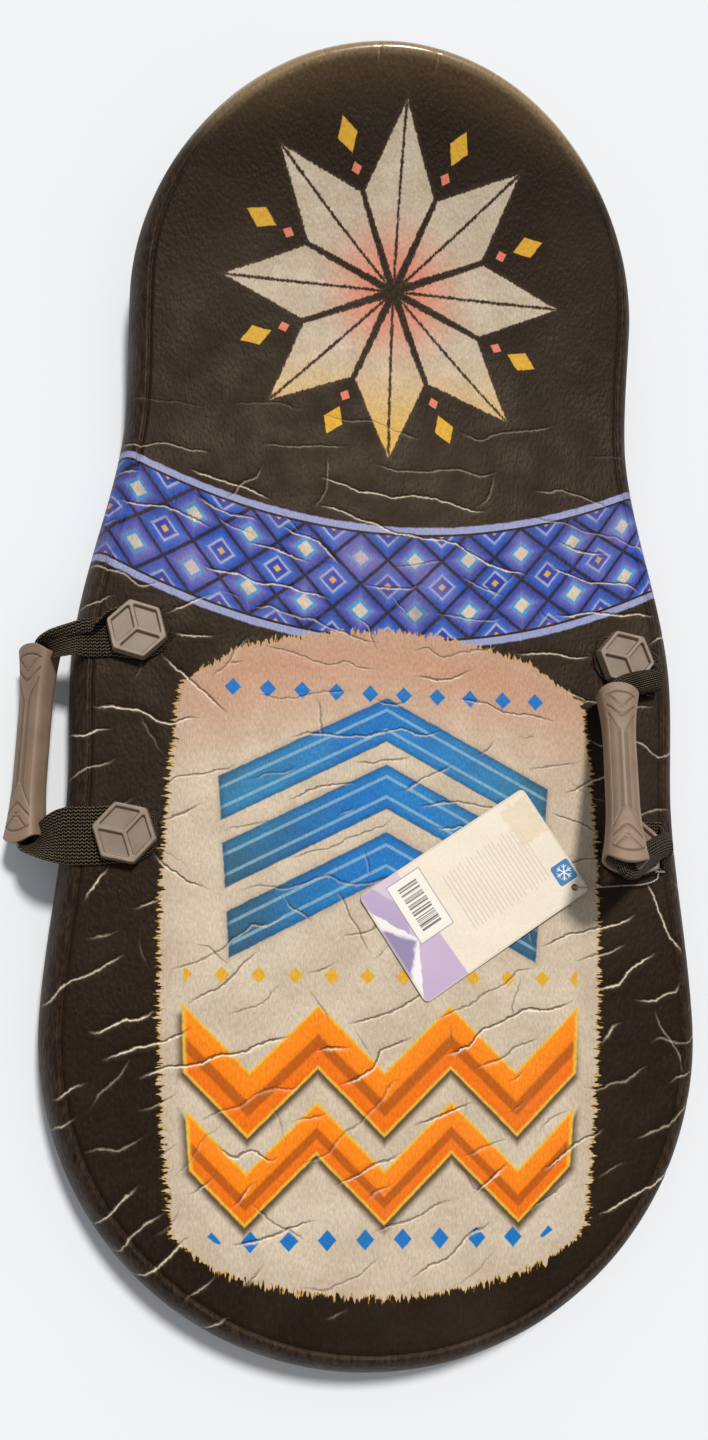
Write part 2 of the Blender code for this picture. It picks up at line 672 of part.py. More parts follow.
def spline(points, steps):
    ends = [points[0] * 2 - points[1], *points, points[-1] * 2 - points[-2]]
    result = []
    for before, start, end, after in zip(ends, ends[1:], ends[2:], ends[3:]):
        for share in shares(steps)[:-1]:
            bend = ((before * -1 + start * 3 - end * 3 + after) * share ** 3
                    + (before * 2 - start * 5 + end * 4 - after) * share ** 2
                    + (end - before) * share + start * 2) / 2
            result.append(bend)
    return result + [points[-1]]


# Thin tie from a small bar on the webbing, through the card's hole and back to itself
def make_tie():
    curve = bpy.data.curves.new("tag_tie", "CURVE")
    curve.dimensions = "3D"
    curve.bevel_depth = TIE_DIAMETER / 2
    curve.bevel_resolution = 2
    curve.use_fill_caps = True
    points = spline([Vector(point) for point in TIE_ROUTE], TIE_STEPS)
    route = curve.splines.new("POLY")
    route.points.add(len(points) - 1)
    for spot, point in zip(route.points, points):
        spot.co = (*point, 1)
    curve.materials.append(CLEAR_PLASTIC)
    tie = bpy.data.objects.new("tag_tie", curve)
    bpy.context.collection.objects.link(tie)
    bm = bmesh.new()
    bmesh.ops.create_cone(bm, cap_ends=True, segments=BAR_STEPS, radius1=BAR_RADIUS, radius2=BAR_RADIUS,
                          depth=BAR_LENGTH, matrix=Matrix.Rotation(pi / 2, 4, "Y"))
    x, y = BAR_FROM_ANCHOR
    seat = (ANCHOR_FROM_CENTRE + x, ANCHOR_Y["rear"] + y,
            WEBBING_BASE + WEBBING_THICKNESS + CLEARANCE + BAR_RADIUS)
    bar = place("tag_tie_bar", bm, CLEAR_PLASTIC, location=seat)
    smooth(bar)


make_tag()
make_tie()
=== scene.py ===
import json
from math import cos, pi, radians, sin, sqrt

import bmesh
import bpy
import numpy as np
from mathutils import Matrix, Vector

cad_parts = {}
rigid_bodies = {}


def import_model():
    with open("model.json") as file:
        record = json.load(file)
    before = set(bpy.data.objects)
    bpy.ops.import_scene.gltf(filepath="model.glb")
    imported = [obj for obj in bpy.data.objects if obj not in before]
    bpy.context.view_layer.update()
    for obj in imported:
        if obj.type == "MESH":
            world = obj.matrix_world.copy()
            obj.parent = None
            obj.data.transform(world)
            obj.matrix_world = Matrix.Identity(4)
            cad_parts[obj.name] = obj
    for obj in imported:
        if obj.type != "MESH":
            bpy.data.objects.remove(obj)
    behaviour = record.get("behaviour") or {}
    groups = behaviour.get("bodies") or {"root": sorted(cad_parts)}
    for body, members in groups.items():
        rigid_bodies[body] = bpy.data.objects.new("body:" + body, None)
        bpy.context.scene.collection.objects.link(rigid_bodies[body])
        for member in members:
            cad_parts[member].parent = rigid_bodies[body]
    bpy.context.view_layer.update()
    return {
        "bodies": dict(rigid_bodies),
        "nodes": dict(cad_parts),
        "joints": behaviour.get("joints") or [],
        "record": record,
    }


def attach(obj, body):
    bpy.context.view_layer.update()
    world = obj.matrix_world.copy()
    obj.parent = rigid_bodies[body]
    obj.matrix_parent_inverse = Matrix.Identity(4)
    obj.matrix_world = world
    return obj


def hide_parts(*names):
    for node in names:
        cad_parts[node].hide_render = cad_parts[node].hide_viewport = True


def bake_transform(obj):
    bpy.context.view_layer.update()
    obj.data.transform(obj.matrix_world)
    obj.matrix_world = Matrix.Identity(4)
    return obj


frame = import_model()
print("frame loaded")


def addPiece(name, data):
    piece = bpy.data.objects.new(name, data)
    bpy.context.collection.objects.link(piece)
    return piece


# camera, as solved from the outline and the four caps
camera = {"place": (-0.1405, -0.1920, 0.7309), "turn": (0.2129, -0.1467, 0.0184),
          "lens": 25.63, "shift": (0.0183, -0.0020)}
camData = bpy.data.cameras.new("viewCamera")
camData.lens = camera["lens"]
camData.shift_x, camData.shift_y = camera["shift"]
cam = addPiece("viewCamera", camData)
cam.location = camera["place"]
cam.rotation_euler = camera["turn"]
bpy.context.scene.camera = cam


class Value:  # a socket that Python's signs work on
    def __init__(self, paint, socket):
        self.paint, self.socket = paint, socket

    def math(self, kind, *rest):
        return self.paint.node("ShaderNodeMath", {"operation": kind}, dict(enumerate((self, *rest))))

    def swapped(self, kind, first):
        return self.paint.node("ShaderNodeMath", {"operation": kind}, {0: first, 1: self})

    def __add__(self, other): return self.math("ADD", other)
    def __radd__(self, other): return self.math("ADD", other)
    def __sub__(self, other): return self.math("SUBTRACT", other)
    def __rsub__(self, other): return self.swapped("SUBTRACT", other)
    def __mul__(self, other): return self.math("MULTIPLY", other)
    def __rmul__(self, other): return self.math("MULTIPLY", other)
    def __truediv__(self, other): return self.math("DIVIDE", other)
    def __rtruediv__(self, other): return self.swapped("DIVIDE", other)
    def __pow__(self, other): return self.math("POWER", other)
    def __abs__(self): return self.math("ABSOLUTE")

    def fold(self, reach): return self.math("PINGPONG", reach)  # there and back again
    def least(self, other): return self.math("MINIMUM", other)
    def most(self, other): return self.math("MAXIMUM", other)

    def ramp(self, low, high, start=0.0, end=1.0, smooth=True):
        kind = "SMOOTHSTEP" if smooth else "LINEAR"
        return self.paint.node("ShaderNodeMapRange", {"interpolation_type": kind, "clamp": True},
                               {0: self, 1: low, 2: high, 3: start, 4: end})

    def fade(self, low, high, most): return self.ramp(low, high) * most
    def inside(self, soft=0.5): return self.ramp(soft, -soft)  # 1 where a signed distance is below 0


class Paint:  # a material and the nodes that feed its shader
    def __init__(self, name, **fixed):
        self.finish = bpy.data.materials.new(name)
        self.finish.use_nodes = True
        self.tree = self.finish.node_tree
        self.shader = self.tree.nodes["Principled BSDF"]
        for label, value in fixed.items():
            self.shader.inputs[label.replace("_", " ")].default_value = value

    def node(self, kind, settings=None, sockets=None, result=0):
        made = self.tree.nodes.new(kind)
        for label, value in (settings or {}).items():
            setattr(made, label, value)
        for label, value in (sockets or {}).items():
            if isinstance(value, Value):
                self.tree.links.new(value.socket, made.inputs[label])
            else:
                made.inputs[label].default_value = value
        return Value(self, made.outputs[result])

    def feed(self, label, value):
        self.tree.links.new(value.socket, self.shader.inputs[label])

    def where(self):  # the place on the piece, in metres
        return self.node("ShaderNodeTexCoord", result="Object")

    def attribute(self, name):
        return self.node("ShaderNodeAttribute", {"attribute_name": name}, result="Fac")

    def mapped(self, vector, turn=(0, 0, 0), stretch=(1, 1, 1)):
        return self.node("ShaderNodeMapping", {}, {"Vector": vector, "Rotation": turn, "Scale": stretch})

    def parts(self, vector):
        first = self.node("ShaderNodeSeparateXYZ", {}, {0: vector})
        return [Value(self, socket) for socket in first.socket.node.outputs]

    def grain(self, vector, perMetre, detail=2.0, rough=0.5, warp=0.0):
        return self.node("ShaderNodeTexNoise", {}, {"Vector": vector, "Scale": perMetre, "Detail": detail,
                                                    "Roughness": rough, "Distortion": warp}, 0)

    def cells(self, vector, perMetre, feature="F1", result="Distance"):
        return self.node("ShaderNodeTexVoronoi", {"feature": feature}, {"Vector": vector, "Scale": perMetre},
                         result)

    def mix(self, share, first, second, kind="MIX"):
        pair = [(*c, 1.0) if isinstance(c, tuple) else c for c in (first, second)]
        return self.node("ShaderNodeMix", {"data_type": "RGBA", "blend_type": kind},
                         {0: share, 6: pair[0], 7: pair[1]}, 2)

    def layers(self, base, *coats):  # each coat as how much of it there is, and its colour
        for share, coat in coats:
            base = self.mix(share, base, coat)
        return base

    def bump(self, height):  # in millimetres
        sockets = {"Height": height, "Distance": 0.001, "Strength": 1.0}
        self.feed("Normal", self.node("ShaderNodeBump", {}, sockets))


def meshPiece(name, points, faces, finish, smooth=True):
    mesh = bpy.data.meshes.new(name)
    mesh.from_pydata([tuple(p) for p in points], [], faces)
    mesh.materials.append(finish)
    if smooth:
        mesh.shade_smooth()
    return addPiece(name, mesh)


def skin(rings, around, first=0, closed=False):  # the faces between rings of points that follow each other
    faces = []
    for ring in range(rings if closed else rings - 1):
        low, high = first + ring * around, first + (ring + 1) % rings * around
        faces += [(low + i, low + (i + 1) % around, high + (i + 1) % around, high + i) for i in range(around)]
    return faces


def lids(rings, around, first=0):  # the faces that close the first ring and the last
    last = first + (rings - 1) * around
    return [tuple(range(first, first + around)), tuple(range(last + around - 1, last - 1, -1))]


def setValues(piece, label, values):  # a number at each point, which the finish reads by its label
    piece.data.attributes.new(label, "FLOAT", "POINT").data.foreach_set("value", values.astype(np.float32))


def faceOut(piece):
    bm = bmesh.new()
    bm.from_mesh(piece.data)
    bmesh.ops.recalc_face_normals(bm, faces=bm.faces)
    bm.to_mesh(piece.data)
    bm.free()


def circle(radius, steps):
    return [(radius * cos(2 * pi * i / steps), radius * sin(2 * pi * i / steps)) for i in range(steps)]


def smoothCurve(points, steps):  # a curve through the points, as in the solid
    ends = [points[0] * 2 - points[1], *points, points[-1] * 2 - points[-2]]
    result = []
    for before, start, end, after in zip(ends, ends[1:], ends[2:], ends[3:]):
        for i in range(steps):
            t = i / steps
            result.append(((before * -1 + start * 3 - end * 3 + after) * t ** 3
                           + (before * 2 - start * 5 + end * 4 - after) * t ** 2
                           + (end - before) * t + start * 2) / 2)
    return result + [points[-1]]


# clear tie of the swing tag, from its bar on the webbing, through the card and back
tie = {"thick": 0.0010, "steps": 6,
       "route": ((0.1935, -0.1413, 0.0484), (0.1915, -0.1455, 0.0485), (0.1820, -0.1490, 0.0486),
                 (0.1650, -0.1505, 0.0490), (0.1480, -0.1520, 0.0504), (0.1400, -0.1524, 0.0508),
                 (0.1330, -0.1525, 0.0507), (0.1306, -0.1525, 0.0495), (0.1320, -0.1526, 0.0477),
                 (0.1380, -0.1530, 0.0470), (0.1430, -0.1528, 0.0476), (0.1470, -0.1512, 0.0486))}


def makeTie():
    paint = Paint("tieFilm", Base_Color=(0.70, 0.68, 0.64, 1), Roughness=0.22, Transmission_Weight=0.72,
                  IOR=1.45)
    along = paint.grain(paint.where(), 900, 1.0)
    paint.feed("Roughness", along.ramp(0.2, 0.8, 0.16, 0.34))
    paint.bump(paint.grain(paint.where(), 2600, 1.0) * 0.03)
    curve = bpy.data.curves.new("tagTie", "CURVE")
    curve.dimensions = "3D"
    curve.bevel_depth = tie["thick"] / 2
    curve.bevel_resolution = 4
    curve.use_fill_caps = True
    points = smoothCurve([Vector(p) for p in tie["route"]], tie["steps"])
    line = curve.splines.new("POLY")
    line.points.add(len(points) - 1)
    for spot, point in zip(line.points, points):
        spot.co = (*point, 1)
    curve.materials.append(paint.finish)
    piece = addPiece("tagTie", curve)
    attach(piece, "sled")
    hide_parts("tag_tie")
    length = sum((b - a).length for a, b in zip(points, points[1:]))
    print("tie length", round(length, 4))
    return piece, points, length, paint


tagTie, tiePoints, tieLength, tieFilm = makeTie()
print("camera and tie made")

# board sizes, as in the solid, in metres
board = {"length": 0.914, "width": 0.448, "tailDepth": 0.215, "waistAt": 0.360, "waistIn": 0.0075,
         "bulgeAt": 0.451, "bulgeIn": 0.0035, "narrowAt": 0.648, "narrowIn": 0.0300,
         "noseAt": 0.738, "noseIn": 0.0280, "thick": 0.045, "widest": 0.018, "chine": 0.014,
         "bevel": 0.0150, "fullness": 1.7, "rise": 0.084, "riseAt": 0.620, "seamTurn": radians(56),
         "grooveWide": 0.0030, "grooveDeep": 0.0012, "grooveEnds": 0.43, "grooveFades": 0.07,
         "grooveLeast": 0.12, "lip": 0.0016, "rimHighlightReach": 0.060, "around": 900, "across": 84,
         "midFrom": 0.205, "midTo": 0.185, "sag": 0.0002, "wave": 0.00022,
         "railShares": (0.6, 0.7, 0.8, 0.9, *[1] * 12, 0.9, 0.7, 0.5, 0.3, 0.1), "crestFrom": (0.032, 0.009),
         "rimFrom": (0.030, 0.010), "creasesFrom": (0.020, 0.022),
         "boreRadius": 0.0084, "anchorX": 0.175, "anchorY": (0.013, -0.125)}
tailY = -board["length"] / 2


def ease(t):
    return t * t * (3 - 2 * t)


def riseAt(y):
    start = tailY + board["riseAt"]
    share = np.clip((y - start) / (tailY + board["length"] - start), 0, None)
    return board["rise"] * share ** 2


def boardOutline():  # evenly spaced points round the outline, with their inward directions
    half, nose = board["width"] / 2, board["width"] / 2 - board["noseIn"]
    fine = np.linspace(0, 1, 600)
    turn = fine * pi / 2
    xs, ys = [half * np.sin(turn)], [board["tailDepth"] * (1 - np.cos(turn))]
    stops = [(0, board["tailDepth"]), (board["waistIn"], board["waistAt"]),
             (board["bulgeIn"], board["bulgeAt"]), (board["narrowIn"], board["narrowAt"]),
             (board["noseIn"], board["noseAt"])]
    for (inset, at), (nextInset, nextAt) in zip(stops, stops[1:]):
        xs.append(half - inset + (inset - nextInset) * ease(fine[1:]))
        ys.append(at + (nextAt - at) * fine[1:])
    xs.append(nose * np.cos(turn[1:]))
    ys.append(board["noseAt"] + (board["length"] - board["noseAt"]) * np.sin(turn[1:]))
    x, y = np.concatenate(xs), np.concatenate(ys) + tailY
    run = np.concatenate([[0], np.cumsum(np.hypot(np.diff(x), np.diff(y)))])
    even = np.linspace(0, run[-1], board["around"] // 2 + 1)
    x, y = np.interp(even, run, x), np.interp(even, run, y)
    x[0] = x[-1] = 0
    ringX = np.concatenate([x, -x[-2:0:-1]])
    ringY = np.concatenate([y, y[-2:0:-1]])
    runX, runY = np.roll(ringX, -1) - np.roll(ringX, 1), np.roll(ringY, -1) - np.roll(ringY, 1)
    size = np.hypot(runX, runY)
    return ringX, ringY, -runY / size, runX / size


# creases: sunk wrinkles in the film, in millimetres and degrees
creases = {
    "seed": 11, "step": 3.0,
    "apart": 14.0,  # one crease ends where it comes this near another
    "zones": (  # from y, to y, tilt, spacing, longest, shortest, strength
        (205, 160, -4, 24, 110, 40, 0.45),
        (160, 45, -8, 18, 210, 50, 0.9),
        (45, -60, 4, 18, 190, 45, 1.0),
        (-60, -170, 18, 18, 180, 40, 1.0),
        (-170, -300, 27, 17, 210, 45, 1.0),
        (-300, -415, 33, 18, 150, 35, 0.95),
    ),
    "from": -240, "to": 225, "lateStart": 60, "skip": (6, 42), "bow": 0.5, "uneven": 5, "turned": 0.09,
    "sway": 0.27,
    "pulls": ((-1, 0, (2, -40, 38)), (-1, 1, (22, -4, -30, -112)),  # side, anchor and headings round a cap
              (1, 0, (176, 203, 32)), (1, 1, (158, 196, 215, -60))),
    "pullFrom": 22.5, "pullLong": (30, 66), "pullStrength": (0.7, 1.0), "pullSway": 0.22,
    "links": 46, "linkX": (-195, 195), "linkY": (-405, 150), "linkTilts": (-48, -62, 118, -35, 62, 45),
    "linkTurned": 0.15, "linkLong": (18, 55), "linkStrength": (0.3, 0.75), "linkSway": 0.3,
    "cracks": (-60, -22, 18, 61, 98), "crackY": 428, "crackFan": 0.35, "crackLong": 24, "crackSway": 0.05,
    "reach": 4.8, "fade": 1.4, "taper": 11,  # how wide a crease pulls, and how it runs out at its ends
    "beyond": 9.5, "away": 9.0, "far": 99.0,
    "deep": 0.00060, "wide": 1.8, "lipHigh": 0.00028, "lipWide": 1.7, "lipAside": 2.9,
}


def creaseLines():  # two families: the long wrinkles, and short ones that join them
    c = creases
    draw = np.random.default_rng(c["seed"])
    families = ([], [])
    taken = [[np.full((1, 2), 999.0)] for _ in families]

    def walk(family, x, y, heading, length, strength, sway):
        points, hold, drift = [(x, y)], 0, 0.0
        others = np.concatenate(taken[family])
        for _ in range(max(4, int(length / c["step"]))):
            hold -= 1
            if hold < 0:
                hold, drift = draw.integers(0, 5), draw.normal(0, sway)
            angle = heading + drift
            x, y = x + c["step"] * cos(angle), y + c["step"] * sin(angle)
            if np.hypot(others[:, 0] - x, others[:, 1] - y).min() < c["apart"]:
                break
            points.append((x, y))
        if len(points) > 5:
            line = np.array(points)
            line[1:-1] = (line[:-2] + 2 * line[1:-1] + line[2:]) / 4
            families[family].append((line, strength))
            taken[family].append(line)
        return x, y

    for side, anchor, headings in c["pulls"]:  # puckers that start at the caps
        for degrees in headings:
            heading = radians(degrees)
            x = side * board["anchorX"] * 1000 + c["pullFrom"] * cos(heading)
            y = board["anchorY"][anchor] * 1000 + c["pullFrom"] * sin(heading)
            length, strength = draw.uniform(*c["pullLong"]), draw.uniform(*c["pullStrength"])
            walk(0, x, y, heading, length, strength, c["pullSway"])
    for top, low, tilt, spacing, longest, shortest, strength in c["zones"]:
        slope = radians(tilt)
        rows = int((top - low) / spacing)
        for row in range(rows):
            base = top - (row + 0.5) * (top - low) / rows
            x = c["from"] + draw.uniform(0, c["lateStart"])
            while x < c["to"]:
                y = base + x * np.tan(slope) * c["bow"] + draw.uniform(-c["uneven"], c["uneven"])
                length = draw.uniform(shortest, longest) * draw.uniform(0.6, 1.0)
                x, y = walk(0, x, y, slope + draw.normal(0, c["turned"]), length,
                            strength * draw.uniform(0.45, 1.0), c["sway"])
                x += draw.uniform(*c["skip"])
    for _ in range(c["links"]):
        x, y = draw.uniform(*c["linkX"]), draw.uniform(*c["linkY"])
        walk(1, x, y, radians(draw.choice(c["linkTilts"])) + draw.normal(0, c["linkTurned"]),
             draw.uniform(*c["linkLong"]), draw.uniform(*c["linkStrength"]), c["linkSway"])
    for x in c["cracks"]:  # small cracks over the nose rail
        walk(1, x, c["crackY"], radians(90 - x * c["crackFan"]), c["crackLong"], 0.5, c["crackSway"])
    return families


def creaseField(lines, x, y):  # signed distance to the nearest crease, and its strength
    c = creases
    side, power = np.full(len(x), c["away"]), np.zeros(len(x))
    near = np.full(len(x), c["far"])
    for points, strength in lines:
        low, high = points.min(0) - c["beyond"], points.max(0) + c["beyond"]
        found = np.nonzero((x > low[0]) & (x < high[0]) & (y > low[1]) & (y < high[1]))[0]
        if not len(found):
            continue
        spot = np.stack([x[found], y[found]], 1)
        best, bestSide, along = np.full(len(found), c["far"]), np.zeros(len(found)), np.zeros(len(found))
        total = c["step"] * (len(points) - 1)
        for i, (start, end) in enumerate(zip(points, points[1:])):
            run = end - start
            t = np.clip(((spot - start) @ run) / (run @ run), 0, 1)
            gap = spot - start - t[:, None] * run
            distance = np.hypot(gap[:, 0], gap[:, 1])
            closer = distance < best
            best[closer] = distance[closer]
            cross = run[0] * gap[:, 1] - run[1] * gap[:, 0]
            bestSide[closer] = np.where(cross[closer] >= 0, 1, -1) * distance[closer]
            along[closer] = ((i + t) * c["step"])[closer]
        taper = np.clip(np.minimum(along, total - along) / c["taper"], 0, 1)
        if points[-1][0] < points[0][0]:
            bestSide = -bestSide  # positive towards the nose
        weight = strength * taper * np.clip((c["reach"] - best) / c["fade"], 0, 1)
        better = (best < near[found]) & (best < c["beyond"])
        near[found[better]] = best[better]
        side[found[better]] = bestSide[better]
        power[found[better]] = weight[better]
    return side, power


def above(height, start, reach):  # 0 up to the start, 1 from there plus the reach
    return np.clip((height - start) / reach, 0, 1)


def makeDeckCover():
    outX, outY, inX, inY = boardOutline()
    b, c = board, creases
    rows = []  # (inset, height) up the rail, then the groove
    for turn in np.linspace(b["seamTurn"], pi / 2, 4):
        rows.append((b["chine"] * (1 - sin(turn)), b["widest"] * (1 - cos(turn))))
    for turn in np.linspace(0, pi / 2, 13)[1:]:
        power = 2 / b["fullness"]
        rows.append((b["bevel"] * (1 - abs(cos(turn)) ** power),
                     b["widest"] + (b["thick"] - b["widest"]) * abs(sin(turn)) ** power))
    for share in (0.25, 0.5, 0.75, 1.0):
        rows.append((b["bevel"] + b["grooveWide"] * share, b["thick"] - b["grooveDeep"] * sin(pi * share)))
    rows.insert(0, (rows[0][0] + b["lip"], rows[0][1] - 0.0001))  # the film's edge turns in at the seam
    points = []
    shallow = np.clip((b["grooveEnds"] - outY) / b["grooveFades"], b["grooveLeast"], 1)
    for inset, height in rows:
        x, y = outX + inX * inset, outY + inY * inset
        if inset > b["bevel"]:
            height = b["thick"] + (height - b["thick"]) * shallow
        points.append(np.stack([x, y, height + riseAt(y)], 1))
    edgeX, edgeY = outX + inX * rows[-1][0], outY + inY * rows[-1][0]
    midY = np.clip(edgeY, tailY + b["midFrom"], tailY + b["length"] - b["midTo"])
    for t in np.linspace(1, 0, b["across"] + 1)[1:]:
        x, y = edgeX * t, midY + (edgeY - midY) * t
        points.append(np.stack([x, y, b["thick"] + riseAt(y)], 1))
    flat = np.concatenate(points)
    fields = [creaseField(lines, flat[:, 0] * 1000, flat[:, 1] * 1000) for lines in creaseLines()]
    height = flat[:, 2] - riseAt(flat[:, 1])
    onTop = np.clip((height - 0.020) / 0.020, 0.25, 1)
    for side, power in fields:
        groove = (-c["deep"] * np.exp(-(side / c["wide"]) ** 2)
                  + c["lipHigh"] * np.exp(-((side + c["lipAside"]) / c["lipWide"]) ** 2))
        flat[:, 2] += groove * power * onTop
    wave = (np.sin(flat[:, 0] * 37 + 1.3) * np.sin(flat[:, 1] * 29 + 0.4)
            + 0.6 * np.sin(flat[:, 0] * 83 + flat[:, 1] * 61))
    flat[:, 2] += b["wave"] * wave * onTop - b["sag"]
    piece = meshPiece("deckCover", flat, skin(len(points), len(outX)), deckPaint())
    onRail = np.zeros(len(flat))
    for row, share in enumerate(b["railShares"]):
        onRail[row * len(outX):(row + 1) * len(outX)] = share
    inside = np.concatenate([np.hypot(ring[:, 0] - outX, ring[:, 1] - outY) for ring in points])
    marks = {"onRail": onRail, "onCrest": onRail * above(height, *b["crestFrom"]),
             "nearRim": np.clip(1 - inside / b["rimHighlightReach"], 0, 1) * above(height, *b["rimFrom"])}
    for family, (side, power) in zip(("long", "short"), fields):
        marks[f"{family}Side"], marks[f"{family}Power"] = side, power * above(height, *b["creasesFrom"])
    for label, values in marks.items():
        setValues(piece, label, values)
    bm = bmesh.new()
    bm.from_mesh(piece.data)
    bmesh.ops.remove_doubles(bm, verts=bm.verts, dist=0.00002)
    gone = [v for v in bm.verts if v.co.z > 0.03 and any(  # the holes that the caps' posts go through
        (abs(v.co.x) - b["anchorX"]) ** 2 + (v.co.y - y) ** 2 < b["boreRadius"] ** 2 for y in b["anchorY"])]
    bmesh.ops.delete(bm, geom=gone, context="VERTS")
    bmesh.ops.recalc_face_normals(bm, faces=bm.faces)
    bm.to_mesh(piece.data)
    bm.free()
    piece.data.shade_smooth()
    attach(piece, "sled")
    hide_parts("deck_skin")
    print("deck cover", len(piece.data.vertices), "points")


# the print: a generic winter pattern, in millimetres on the deck; a fade is (from, to, how strong)
design = {
    "dark": (0.0085, 0.0043, 0.0024), "snow": (0.56, 0.475, 0.375), "cream": (0.66, 0.58, 0.475),
    "gold": (0.72, 0.42, 0.04), "pink": (0.74, 0.22, 0.15), "blue": (0.006, 0.175, 0.56),
    "lifts": (2.1, 1.9),  # the strokes and the clouds, against the dark
    "starY": 286, "petalMid": 68, "petalHalf": 60, "petalWide": 26, "petalPart": 1.0, "ragged": 7,
    "petalShade": (0.50, 0.40, 0.30), "petalRim": (0.05, 0.028, 0.015),
    "pinkFade": (66, 12, 0.85), "goldFade": (250, 165, 0.85),
    "gems": ((110, 12, 7.5, "gold"), (88, 4.6, 4.0, "pink")),  # how far out, half its length and width
    "bandY": 80, "bandDrop": 22, "bandHalf": 46, "sag": 0.00125, "diamond": 20,
    "bandBlue": (0.008, 0.05, 0.40), "bandLight": (0.05, 0.24, 0.74), "bandRing": (0.42, 0.40, 0.66),
    "bandSquare": (0.05, 0.30, 0.66), "lavender": (0.27, 0.22, 0.52), "bandDeep": (0.004, 0.025, 0.16),
    "bandEdge": (0.30, 0.34, 0.62),
    "panelY": -192, "panelHigh": 216, "panelWide": 150, "waist": 0.00035, "waistDown": 150, "endBow": 0.0016,
    "cornerSlope": 0.7, "cornerOut": 272, "panelRagged": 17, "panelWarm": (0.52, 0.24, 0.15),
    "warmFade": (-70, 20, 0.75), "panelRim": (0.46, 0.36, 0.27), "rimFade": (-26, 0, 0.35),
    "rows": ((-22, 6.2, "blue"), (-214, 5.4, "gold"), (-374, 6.2, "blue")),  # y, half their height, colour
    "rowPitch": 12.0, "rowNarrow": 0.95, "rowInset": 16,
    "chevronRise": 0.52, "chevronPitch": 47, "chevronShift": (150, 16), "chevronHalf": 15.5,
    "chevronsDown": 87, "chevronsHalf": 66, "chevronWide": 118, "chevronTaper": (60, 0.1),
    "teal": (0.035, 0.12, 0.19), "brightBlue": (0.02, 0.30, 0.66), "paleBlue": (0.30, 0.52, 0.66),
    "deepBlue": (0.012, 0.07, 0.16), "chevronShadow": (0.20, 0.15, 0.12),
    "zigzags": ((-252, 20), (-308, 16)), "zigPitch": 44, "zigRise": 0.95, "zigWide": 133,
    "zigInset": (15, 12), "zigShadow": (0.06, 0.024, 0.010), "zigRim": (0.80, 0.52, 0.05),
    "orange": ((0.95, 0.27, 0.010), (0.84, 0.165, 0.006)), "deepOrange": (0.36, 0.075, 0.006),
    "noseBow": 0.001, "noseFade": (340, 415), "noseCoat": (320, 400),
    # the rail colour is a painted sheen, and the rim and crest colours are painted highlights
    "railPaintedSheen": (0.080, 0.050, 0.034), "rimPaintedHighlight": (0.20, 0.125, 0.062), "crestPaintedHighlight": (0.37, 0.295, 0.18),
    "speck": (0.80, 0.78, 0.75), "dust": (0.42, 0.34, 0.27), "jag": 3.2,
    # the crease colours are painted shade in the fold and a painted highlight on its lip
    "creaseHalf": 0.52, "creaseAt": 0.35, "creaseDeep": 0.9, "creasePaintedShade": (0.022, 0.011, 0.006),
    "lipAt": 0.75, "lipHigh": 0.30, "creasePaintedHighlight": (0.96, 0.84, 0.66), "creaseShows": 0.78,
}


